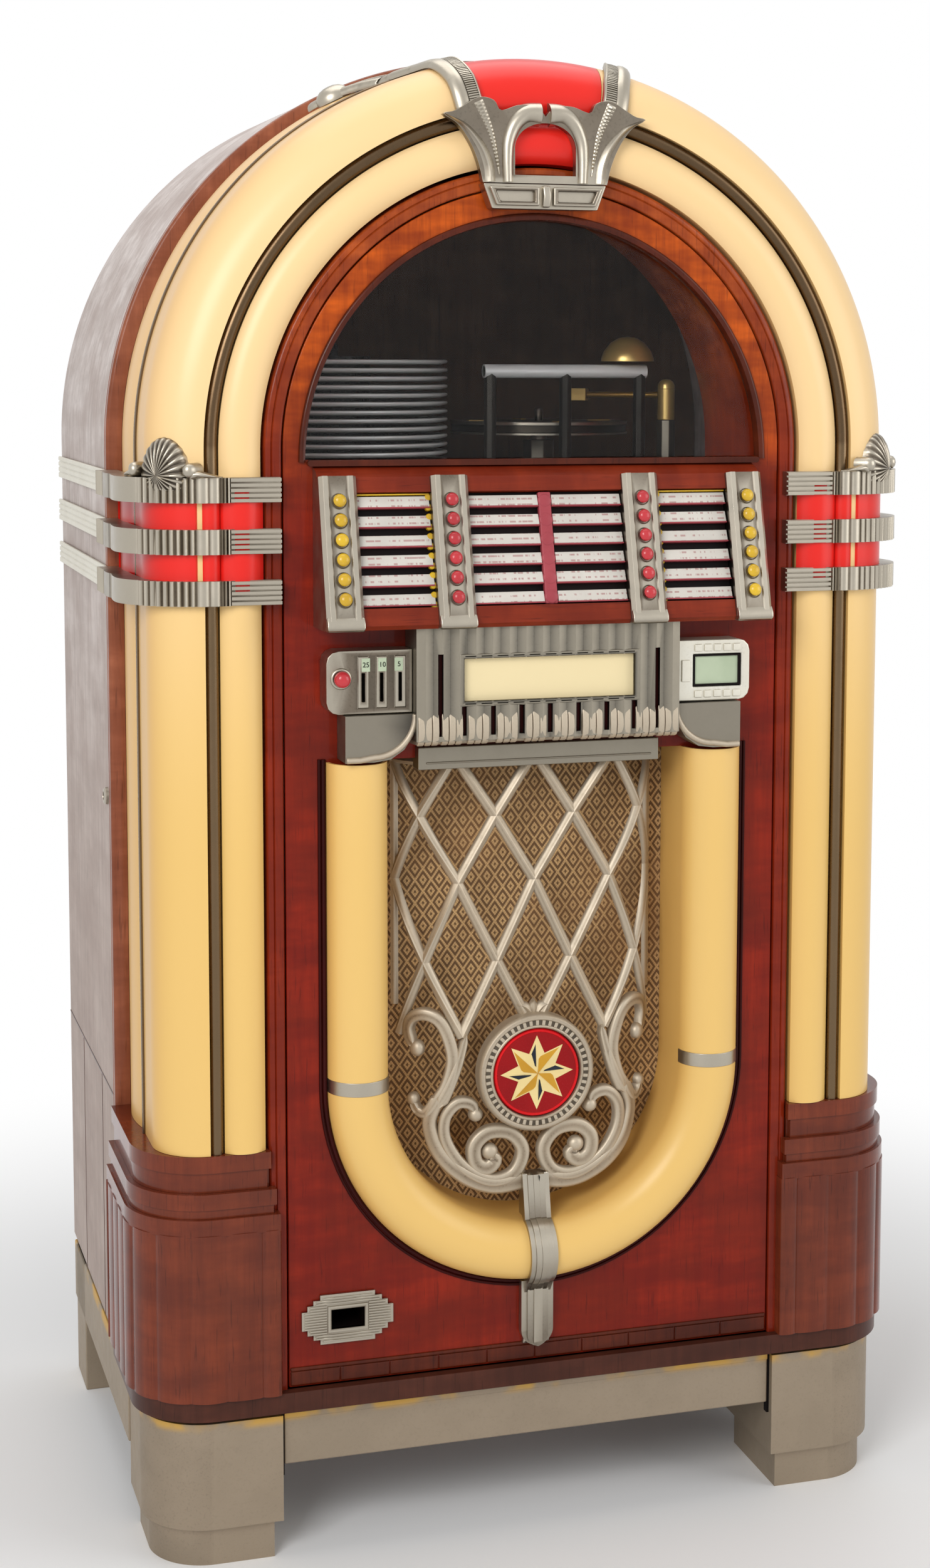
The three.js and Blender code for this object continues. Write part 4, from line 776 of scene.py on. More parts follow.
@dataclass(frozen=True)
class ClearGlass(Finish):
    """Smoked window glass that lets a little light in."""

    def inputs(self, nodes: Nodes) -> dict[str, object]:
        """Returns what goes into the shader.

        Args:
            nodes: The material's nodes.
        """
        smear = nodes.times(nodes.noise((6, 6, 14), 4.0), 0.05)
        return {"Base Color": nodes.mix(smear, self.colour, self.aged), "Roughness": smear,
                "Transmission Weight": 1.0, "IOR": 1.2}

    def surface(self, nodes: Nodes, shader: Socket) -> Socket:
        """Returns the shader, with a clear one for the light that passes through.

        Args:
            nodes: The material's nodes.
            shader: What the Principled node gives out.
        """
        shadow = nodes.add("LightPath").outputs["Is Shadow Ray"]
        clear = nodes.add("BsdfTransparent", {"Color": (0.6, 0.6, 0.6, 1.0)}).outputs[0]
        return nodes.add("MixShader", {0: shadow, 1: shader, 2: clear}).outputs[0]


@dataclass(frozen=True)
class Weave(Finish):
    """Speaker cloth woven in nested diamonds.

    Attributes:
        dark: Colour of the dark threads.
        wide: Width of a diamond in millimetres.
        tall: Its height.
    """

    dark: Colour = (0.33, 0.2, 0.09)
    wide: float = 17.0
    tall: float = 24.0

    def inputs(self, nodes: Nodes) -> dict[str, object]:
        """Returns what goes into the shader.

        Args:
            nodes: The material's nodes.
        """
        repeats = (1000 / self.wide, 1000, 1000 / self.tall)
        weave = nodes.add("Group", {"Repeats": repeats}, node_tree=weave_group()).outputs
        colour = nodes.mix(nodes.times(weave["Thread"], 0.3), self.colour, self.dark)
        colour = nodes.mix(nodes.times(weave["Diamond"], 0.85), colour, self.dark)
        stain = nodes.times(nodes.span(nodes.noise((8, 8, 8), 3.0), 0.4, 0.7), self.age)
        return {"Base Color": nodes.mix(stain, colour, self.aged), "Normal": nodes.bump(weave["Thread"], 0.3, 0.4)}


@dataclass(frozen=True)
class Printed(Finish):
    """A paper strip with faint lines of print.

    Attributes:
        ink: Colour of the print.
        pitch: Distance between the lines in millimetres.
    """

    ink: Colour = (0.62, 0.35, 0.35)
    pitch: float = 5.5

    def inputs(self, nodes: Nodes) -> dict[str, object]:
        """Returns what goes into the shader.

        Args:
            nodes: The material's nodes.
        """
        row = nodes.math("FRACT", nodes.times(nodes.height(), 1000 / self.pitch))
        line = nodes.math("LESS_THAN", nodes.math("ABSOLUTE", nodes.math("SUBTRACT", row, 0.5)), 0.16)
        words = nodes.span(nodes.noise((260, 40, 8), 2.0), 0.5, 0.56)
        stain = nodes.mix(nodes.times(nodes.noise((20, 20, 20)), self.age), self.colour, self.aged)
        return {"Base Color": nodes.mix(nodes.times(nodes.times(line, words), 0.6), stain, self.ink)}


class Looks:
    """The finishes of the whole machine."""

    door = Veneer("door_veneer", (0.58, 0.145, 0.05), 0.3, (0.4, 0.11, 0.04), 0.5, dark=(0.36, 0.045, 0.025),
                  figure=0.6, glow=(0.92, 0.42, 0.1), glow_from=1040.0)
    ring = Veneer("ring_wood", (0.56, 0.17, 0.07), 0.25, (0.4, 0.12, 0.05), 0.4, dark=(0.38, 0.08, 0.035),
                  glow=(0.76, 0.36, 0.15), glow_from=1060.0, glow_to=1330.0)
    rim = Veneer("rim_wood", (0.4, 0.16, 0.08), 0.25, (0.22, 0.08, 0.04), 0.4, dark=(0.2, 0.07, 0.04))
    edge = Veneer("edge_wood", (0.66, 0.4, 0.29), 0.28, (0.4, 0.2, 0.12), 0.4, dark=(0.42, 0.2, 0.12))
    block = Veneer("block_wood", (0.5, 0.22, 0.12), 0.22, (0.34, 0.15, 0.09), 0.45, dark=(0.3, 0.11, 0.07), figure=0.5,
                   coat=0.3)
    kick = Veneer("kick_wood", (0.34, 0.18, 0.13), 0.35, (0.22, 0.12, 0.09), 0.4, dark=(0.2, 0.1, 0.07))
    side = Veneer("side_wood", (0.74, 0.67, 0.63), 0.45, (0.6, 0.51, 0.47), 0.45, dark=(0.58, 0.5, 0.46), figure=0.35,
                  glow=(0.88, 0.84, 0.82), glow_from=560.0, glow_to=1150.0, coat=0.0)
    back = Veneer("back_board", (0.42, 0.3, 0.22), 0.6, (0.2, 0.14, 0.1), 0.4, dark=(0.3, 0.2, 0.14), figure=0.3,
                  coat=0.0)
    rail = Veneer("rail_wood", (0.56, 0.2, 0.1), 0.28, (0.38, 0.12, 0.06), 0.3, dark=(0.38, 0.1, 0.05),
                  grain=Grain.LEVEL)
    # Painted shade: near-black wood standing in for the shade inside the cabinet and behind the parts, on the shelf,
    # the frame board and the groove bed.
    inside = Veneer("painted_shade_wood", (0.05, 0.035, 0.035), 0.6, (0.05, 0.03, 0.03), 0.4, dark=(0.05, 0.03, 0.02),
                    coat=0.0)
    cream = LitPlastic("cream_plastic", (0.98, 0.84, 0.62), 0.32, (0.9, 0.74, 0.46), 0.2, low=(0.92, 0.76, 0.45))
    red = LitPlastic("red_plastic", (0.92, 0.16, 0.12), 0.3, (0.7, 0.07, 0.08), 0.2, low=(0.9, 0.12, 0.1), glow=0.06,
                     painted_shade=(0.6, 0.03, 0.05))
    nickel = CastMetal("nickel", (0.47, 0.43, 0.38), 0.32, (0.34, 0.31, 0.27), 0.4, worn_highlight=(0.76, 0.73, 0.67))
    pale_nickel = CastMetal("pale_nickel", (0.86, 0.85, 0.81), 0.38, (0.68, 0.65, 0.58), 0.3, metallic=0.8)
    foot = CastMetal("foot_nickel", (0.56, 0.5, 0.43), 0.5, (0.44, 0.39, 0.33), 0.7, pitting=0.15,
                     worn_highlight=(0.64, 0.58, 0.5), metallic=0.6, worn=(0.78, 0.62, 0.32))
    strip = CastMetal("side_strip", (0.86, 0.85, 0.81), 0.45, (0.66, 0.63, 0.56), 0.3, metallic=0.6)
    steel = CastMetal("dark_steel", (0.3, 0.29, 0.27), 0.42, (0.18, 0.17, 0.16), 0.5, worn_highlight=(0.62, 0.59, 0.53))
    slate = CastMetal("slate_metal", (0.19, 0.175, 0.16), 0.55, (0.2, 0.19, 0.18), 0.6, metallic=0.6,
                      worn_highlight=(0.6, 0.57, 0.51), pitting=0.5)
    grille = CastMetal("grille_nickel", (0.62, 0.56, 0.48), 0.46, (0.44, 0.38, 0.3), 0.45, metallic=0.6,
                       worn_highlight=(0.78, 0.73, 0.65))
    plate = CastMetal("plate_metal", (0.47, 0.43, 0.38), 0.46, (0.34, 0.3, 0.26), 0.45, metallic=0.6,
                      worn_highlight=(0.74, 0.7, 0.63))
    bronze = CastMetal("bronze", (0.27, 0.18, 0.11), 0.25, (0.13, 0.08, 0.05), 0.5, worn_highlight=(0.5, 0.42, 0.32))
    brass = CastMetal("brass", (0.8, 0.62, 0.3), 0.3, (0.45, 0.33, 0.15), 0.4, worn_highlight=(0.9, 0.78, 0.5), metallic=0.7)
    yellow = Finish("yellow_plastic", (0.9, 0.74, 0.16), 0.22, (0.6, 0.42, 0.1), 0.45, 0.5)
    ruby = Finish("ruby_plastic", (0.78, 0.2, 0.23), 0.2, (0.45, 0.07, 0.09), 0.3, 0.5)
    rose = Finish("rose_plastic", (0.68, 0.3, 0.33), 0.35, (0.5, 0.16, 0.2), 0.4)
    dark = Finish("dark_paint", (0.05, 0.035, 0.035), 0.5, (0.1, 0.03, 0.03), 0.4, 0.1)
    maroon = Finish("maroon_paint", (0.22, 0.05, 0.045), 0.4, (0.12, 0.03, 0.02), 0.5, 0.1)
    shellac = Finish("shellac", (0.06, 0.06, 0.065), 0.25, (0.12, 0.12, 0.12), 0.3)
    tray = CastMetal("tray_metal", (0.9, 0.93, 0.9), 0.3, (0.7, 0.72, 0.7), 0.3, metallic=0.2, worn_highlight=(1.0, 1.0, 1.0))
    green = Finish("green_plate", (0.74, 0.79, 0.68), 0.35, (0.6, 0.66, 0.54), 0.4)
    lit_panel = LitPlastic("lit_panel", (0.93, 0.86, 0.68), 0.35, (0.86, 0.77, 0.56), 0.2, low=(0.93, 0.86, 0.68),
                           glow=0.04, painted_shade_weight=0.0)
    card = Printed("title_card", (0.9, 0.88, 0.84), 0.6, (0.58, 0.55, 0.52), 0.6)
    cloth = Weave("speaker_cloth", (0.84, 0.69, 0.48), 0.85, (0.55, 0.38, 0.22), 0.35, dark=(0.3, 0.18, 0.1))
    glass = ClearGlass("smoked_glass", (0.94, 0.94, 0.94), 0.02, (0.6, 0.6, 0.65), 0.1)
    gold = Finish("gold_enamel", (0.82, 0.61, 0.18), 0.3, (0.6, 0.42, 0.1), 0.3)
    ivory = Finish("ivory_enamel", (0.94, 0.85, 0.6), 0.3, (0.8, 0.7, 0.45), 0.3)
    navy = Finish("navy_enamel", (0.1, 0.13, 0.18), 0.3, (0.1, 0.1, 0.12), 0.3)
    enamel = Finish("red_enamel", (0.88, 0.11, 0.13), 0.25, (0.6, 0.06, 0.08), 0.3, 0.15)


LOOKS = Looks()


def section(outline: Line, height: float) -> list[Vector]:
    """Returns a plan outline as points at a height."""
    return [at(x, y, height) for x, y in outline]


def corner_plan(half: float, front: float, corner: float, inner: float, back: float, steps: int = 24) -> list[Point]:
    """Returns the plan of a block at the right-hand front corner, from its inner end round to its back.

    Args:
        half: Reach of its side from the middle.
        front: Place of its front.
        corner: Radius of its corner.
        inner: Place of its inner end.
        back: Place of its back.
        steps: Spans of the corner.
    """
    turn = arc(half - corner, front + corner, corner, -90, 0, steps)
    return [(inner, back), (inner, front), *turn, (half, back)]


RIDGE = [(-1.0, 1.0), (-1.0, 0.62), (-0.72, 0.3), (-0.3, 0.16), (0.0, 0.0), (0.3, 0.16), (0.72, 0.3), (1.0, 0.62),
         (1.0, 1.0)]


BROAD = [(-1.0, 1.0), (-1.0, 0.42), (-0.88, 0.14), (-0.62, 0.0), (0.0, 0.1), (0.62, 0.0), (0.88, 0.14), (1.0, 0.42),
         (1.0, 1.0)]


ROUND = [(math.cos(math.pi * i / 8), 1 - math.sin(math.pi * i / 8)) for i in range(9)]


def bar_section(shape: Line, width: float, rise: float) -> list[Vector]:
    """Returns the section of a cast bar, from shares of its half width and its rise."""
    return [Vector((across * width / 2 * MM, back * rise * MM, 0)) for across, back in shape]


@dataclass
class Case:
    """The wooden cabinet: shell, front moulding, frame board, plinth and back."""

    half: float = 400.0
    wall: float = 16.0
    bottom: float = 155.0
    front: float = 190.0
    rear: float = 575.3
    moulding: float = 15.0
    proud: float = 1.2
    ring_inner: float = 258.6
    ring_outer: float = 276.0
    ring_front: float = -2.0

    def build(self) -> None:
        """Builds every piece of the cabinet."""
        self.shell()
        self.edge()
        self.face()
        self.back()

    def shell(self) -> None:
        """Builds the arched tunnel with its shelf and lock."""
        form = Form()
        inner = arch_outline(self.half - self.wall, self.bottom + 18)
        outline = arch_outline(self.half - self.proud, self.bottom)
        form.prism(Plane.FRONT, outline, self.front + self.moulding, self.rear,
                   [inner])
        form.finish("cabinet_tunnel", "cabinet", LOOKS.side, "side_wood", "cabinet_shell", 1.5)
        shelf = Form()
        shelf.block((-384, 216, 994), (384, 520, 1012))
        # The shelf is near-black as painted shade inside the cabinet.
        shelf.finish("cabinet_shelf", "cabinet", LOOKS.inside, "dark_wood", bevel=1.0)
        lock = Form()
        lock.turn([(0, 2), (9, 2), (9, -1.5), (7.5, -3), (5, -3.4), (4.5, -2.2), (0, -2.2)],
                  (-self.half, 224, 746), Turn.ACROSS, 32)
        lock.finish("side_lock", "cabinet", LOOKS.nickel, "nickel")

    def edge(self) -> None:
        """Builds the polished moulding along the front edge of the shell."""
        steps = ((self.wall, 190), (3.5, 190), (1.2, 190.8), (0, 192.6), (0, 199), (1, 200.2), (0, 201.4), (0, 205),
                 (self.wall, 205))
        outline = [(self.half - inset, y) for inset, y in steps]
        self.hoop(outline, self.bottom, "edge_moulding", LOOKS.edge, "mahogany", "")

    def hoop(self, outline: Line, foot: float, name: str, look: Finish, slot: str, node: str) -> None:
        """Sweeps a plan outline up one side, round the arch and down the other."""
        form = Form()
        form.sweep(section(outline, foot), arch_frames(foot, 180, 128), ring=True)
        form.finish(name, "cabinet", look, slot, node, sharp=50)

    def face(self) -> None:
        """Builds the dark ring round the door, the board behind it in near-black painted shade, and the plinth board.
        """
        back = self.front + 18
        foot = self.bottom + 18.3
        board = [(self.ring_outer - 1, self.front + 0.2), (383.7, self.front + 0.2), (383.7, back),
                 (self.ring_outer - 1, back)]
        self.hoop(board, foot, "frame_board", LOOKS.inside, "dark_wood", "face_frame")
        inner, outer, front = self.ring_inner, self.ring_outer, self.ring_front
        ring = [(inner, front + 2), (inner + 0.6, front + 0.6), (inner + 2, front), (inner + 9, front),
                (inner + 10, front + 1.2), (inner + 11, front), (outer - 3, front + 0.2), (outer - 0.8, front + 1.4),
                (outer, front + 4), (outer, back), (inner, back)]
        self.hoop(ring, foot, "door_ring", LOOKS.ring, "dark_wood", "face_frame")
        sill = Form()
        sill.block((-self.ring_outer + 1, self.ring_front + 1, foot), (self.ring_outer - 1, back, 175.5))
        sill.finish("door_threshold", "cabinet", LOOKS.ring, "dark_wood", "face_frame", 0.6, 2)
        plan = corner_plan(406, -11, 75, 0, 189.7)[2:]
        plinth = Form()
        plinth.prism(Plane.PLAN, [*mirrored(plan, -1), *reversed(plan)], self.bottom, 175.5)
        plinth.finish("plinth_board", "cabinet", LOOKS.kick, "dark_wood", "face_frame", 2.0, 3)
        seams = Form()
        for side in (-1, 1):
            seams.block((side * 398.6, 206, 428), (side * 399.3, 574, 429.8))
            for y in (300, 452):
                seams.block((side * 398.6, y, 156), (side * 399.2, y + 1.4, 428))
        seams.finish("side_seams", "cabinet", LOOKS.kick, "side_wood")

    def back(self) -> None:
        """Builds the vented door at the back."""
        form = Form()
        vents = []
        for i in range(7):
            top = 760 - i * 34
            vents.append([*arc(144, top - 6, 6, -90, 90, 8), *arc(-144, top - 6, 6, 90, 270, 8)])
        form.prism(Plane.FRONT, arch_outline(383.2, 173.8), 560.3, self.rear, vents)
        form.finish("back_panel", "rear_door", LOOKS.back, "side_wood", "rear_door", 1.2)


@dataclass
class Pilaster:
    """One side's lit plastics, tube, bands, base block and foot.

    Attributes:
        side: 1 for the right-hand side, -1 for the left.
    """

    side: int
    foot: float = 424.3
    end: float = 79.7
    wall: float = 4.0
    tube_x: float = 327.8
    tube_radius: float = 6.8
    corner_x: float = 335.0
    corner_y: float = 42.0
    corner: float = 50.0
    band_top: float = 1087.5
    band_height: float = 24.0
    band_pitch: float = 49.2

    def __post_init__(self) -> None:
        """Names the side."""
        self.label = "right" if self.side > 0 else "left"

    def build(self) -> None:
        """Builds every piece of the pilaster."""
        self.plastics()
        self.tube()
        self.bands()
        self.fan()
        self.block()
        self.toe()

    def inner_face(self, offset: float = 0.0, steps: int = 20) -> list[Point]:
        """Returns the plan of the inner plastic's front."""
        return arc(299.7, 14.23, 26.23 + offset, -140.4, -39.6, steps)

    def corner_face(self, offset: float = 0.0, steps: int = 28) -> list[Point]:
        """Returns the plan of the corner plastic's turn."""
        return arc(self.corner_x, self.corner_y, self.corner + offset, -90, 0, steps)

    def side_face(self, offset: float = 0.0, steps: int = 16) -> list[Point]:
        """Returns the plan of the corner plastic's side."""
        return arc(226.2, 140.85, 162.8 + offset, -17.46, 17.46, steps)

    def run(self, outline: Line, name: str, look: Finish, slot: str, end: float, node: str) -> None:
        """Sweeps a plan outline up the side and round the arch.

        Args:
            outline: Plan outline on the right-hand side.
            name: Name of the piece.
            look: Its finish.
            slot: Its material slot.
            end: Angle at which it stops.
            node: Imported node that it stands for, if any.
        """
        form = Form()
        frames = arch_frames(self.foot, end, 64, self.side)
        form.sweep(section(mirrored(outline, self.side), self.foot), frames, ring=True)
        form.finish(f"{name}_{self.label}", "cabinet", look, slot, node, sharp=30)

    def plastics(self) -> None:
        """Builds the corner plastic, the inner plastic and the bronze strip between the corner and the side."""
        line = [(self.corner_x, 24), *self.corner_face(), (385, 84), (382, 84), *self.side_face()]
        self.run(walled(line, self.wall), "corner_lens", LOOKS.cream, "cream_plastic", self.end,
                 f"corner_plastic_{self.label}")
        face = self.inner_face()
        line = [(face[0][0], 24), *face, (face[-1][0], 24)]
        self.run(walled(line, self.wall), "inner_lens", LOOKS.cream, "cream_plastic", self.end,
                 f"inner_plastic_{self.label}")
        strip = [(382.3, 83.6), (386.4, 83.6), (387.2, 85), (387.2, 90), (386.4, 91.4), (382.3, 91.4)]
        self.run(strip, "side_seam", LOOKS.bronze, "bronze", self.end, "")

    def tube(self) -> None:
        """Builds the tube in the groove between the plastics."""
        circle = arc(self.tube_x, 0, self.tube_radius, 0, 360, 20)[:-1]
        self.run(circle, "groove_tube", LOOKS.bronze, "bronze", self.end, f"bubble_tube_{self.label}")
        # The bed behind the tube is near-black as painted shade in the groove.
        bed = [(320.5, 10), (335, 10), (335, 14), (320.5, 14)]
        self.run(bed, "groove_bed", LOOKS.inside, "dark_wood", self.end, "")

    def band_line(self) -> list[Point]:
        """Returns the plan of a band's outer face, with its ribs."""
        turn = arc(331, 62, 77, -90, 0, 40)
        line = [(311, -16), (320, -15.5), *turn, (408, 189.7)]
        fine = [0, 3.4, 6.8]
        ribs = [33.0 + 6.8 * i for i in range(9)]
        hatch = [228 + 4.8 * i for i in range(8)]
        return reeded(line, [*fine, 10.2, 21.0, *ribs, 94.2, 178, *hatch], 3.6, [*fine, *ribs, *hatch])

    def bands(self) -> None:
        """Builds the three cast bands, their end grooves, the side strips and the red sleeve behind them."""
        inside = [(271, 14), *self.inner_face(0.8), *arc(self.tube_x, 0, 7.6, -126, -60, 6), *self.corner_face(0.8),
                  (389.8, 84), (389.8, 189.7)]
        outer = self.band_line()
        lows = [self.band_top - i * self.band_pitch - self.band_height for i in range(3)]
        form = Form()
        for low in lows:
            plan = [(262, -2.3), (262, -13.6), (310.5, -13.6), *outer, *reversed(inside[1:]), (276.3, -2.3)]
            form.prism(Plane.PLAN, mirrored(plan, self.side), low, low + self.band_height)
            for k in range(5):
                z = low + 0.6 + k * 4.9
                form.block((self.side * 262, -17.8, z), (self.side * 311, -13, z + 3.2))
        strips = Form()
        for low in lows:
            strips.prism(Plane.FRONT, mirrored(self.strip_plan(low), self.side), 185, 570.3)
        strips.finish(f"side_strips_{self.label}", "cabinet", LOOKS.strip, "nickel", f"band_set_{self.label}", 0.3, 1)
        form.finish(f"cast_bands_{self.label}", "cabinet", LOOKS.nickel, "nickel", f"band_set_{self.label}", 0.7, 2,
                    40)
        sleeve = [*self.inner_face(2.5)[:-2], *arc(329, -2, 10, -165, -12, 14), *self.corner_face(2.5)[3:],
                  (387.4, 80), (385.4, 86), *self.side_face(2.5)[2:], (388.6, 189.7)]
        red = Form()
        red.prism(Plane.PLAN, mirrored(walled(sleeve, 1.6), self.side), lows[-1] + 12, lows[0] + 12)
        red.finish(f"band_glow_{self.label}", "cabinet", LOOKS.red, "red_plastic", f"band_set_{self.label}", sharp=50)

    def strip_plan(self, low: float) -> list[Point]:
        """Returns the section of a side strip with its long grooves."""
        top = low + self.band_height
        out = [(400.3, low), (402.6, low), (403.2, low + 0.8)]
        for k in range(3):
            z = low + 5.2 + k * 6.2
            out += [(403.2, z), (402.0, z + 0.6), (402.0, z + 1.6), (403.2, z + 2.2)]
        return [*out, (403.2, top - 0.8), (402.6, top), (400.3, top)]

    def fan(self) -> None:
        """Builds the fluted shell over the bands, with a knob on each side of it."""
        place = (Matrix.Translation(at(self.side * self.corner_x, self.corner_y, self.band_top))
                 @ Matrix.Rotation(self.side * math.pi / 4, 4, "Z")
                 @ shift(y=-52.3) @ Matrix.Translation(-at(0, 0, 0)))
        form = Form()
        dome = [(26 * math.sin(t), -16 * math.cos(t) + 4) for t in (math.pi * i / 28 for i in range(15))]
        form.turn([*dome, (26, 10), (0, 10)], (0, 0, 0), Turn.DEEP, 144)

        def flute(spot: Vector) -> Vector:
            """Cuts the flutes of the shell into its dome and raises it."""
            reach = math.hypot(spot.x, spot.z) / 26
            wave = 0.5 - 0.5 * math.cos(24 * math.atan2(spot.x, spot.z))
            sink = 1.5 * wave * min(1.0, 2 * reach) if spot.y < 4 else 0.0
            low = max(spot.z, -14.0)
            return Vector((spot.x * (1 - 0.03 * wave), spot.y + sink, low * (1.4 if low > 0 else 1.0) + 2))

        form.remap(flute)
        for x, radius in ((-32.5, 7.2), (32.5, 7.2)):
            form.turn([(0, -9), (0.5 * radius, -8.2), (0.85 * radius, -6), (radius, -2), (radius, 10), (0, 10)],
                      (x, 0, radius), Turn.DEEP, 24)
        for side in (-1, 1):
            tail = mirrored([(34, 2.6), (42, 3.8), (52, 2.6), (66, 0.8)], side)
            frames = path_frames(spaced(tail, 12), [1 - 0.075 * i for i in range(13)])
            form.sweep(bar_section(ROUND, 8, 6), [shift(y=-5) @ f for f in frames], ring=True)

        def wrap(spot: Vector) -> Vector:
            """Wraps the far ends back round the corner."""
            back = max(0.0, abs(spot.x) - 24)
            return Vector((spot.x - math.copysign(0.006 * back ** 2, spot.x), spot.y + 0.0105 * back ** 2, spot.z))

        form.remap(wrap)
        form.lay(place)
        form.finish(f"shell_crest_{self.label}", "cabinet", LOOKS.nickel, "nickel", f"band_set_{self.label}", sharp=50)

    def block(self) -> None:
        """Builds the base block with its capped mouldings."""
        inner, back = 266.5, 189.7
        form = Form()
        face = corner_plan(408.2, -13.2, 77.2, inner, back, 40)
        stops = [0, *(19 + 36 * i for i in range(9))]
        form.prism(Plane.PLAN, mirrored([(inner, -1.6), *reeded(face[1:], stops, 3.2), (276.6, back), (276.6, -1.6)],
                                        self.side), 175.8, 346)
        caps = ((345, 362, 0.6), (362.2, 371, 5.0), (371.2, 387, 3.0), (387.2, 407, 9.0), (407.2, 424, 6.4))
        for low, high, inset in caps:
            end = inner + 1.4 * inset
            plan = [(end, -2.3), *corner_plan(411 - inset, -16 + inset, 80 - inset, end, back, 32)[1:], (276.6, back),
                    (276.6, -2.3)]
            form.prism(Plane.PLAN, mirrored(plan, self.side), low, high)
        form.finish(f"base_block_{self.label}", "cabinet", LOOKS.block, "mahogany", f"pilaster_base_{self.label}", 2.4,
                    4, 50)

    def toe(self) -> None:
        """Builds the front foot."""
        form = Form()
        upper = corner_plan(398, -3, 67, 264, 128, 32)
        lower = corner_plan(390, 5, 59, 272, 120, 32)
        form.prism(Plane.PLAN, mirrored(upper, self.side), 40, 149.5)
        form.prism(Plane.PLAN, mirrored(lower, self.side), 0, 41)
        form.finish(f"foot_{self.label}", "cabinet", LOOKS.foot, "dull_nickel", f"front_foot_{self.label}", 3.0, 3, 50)


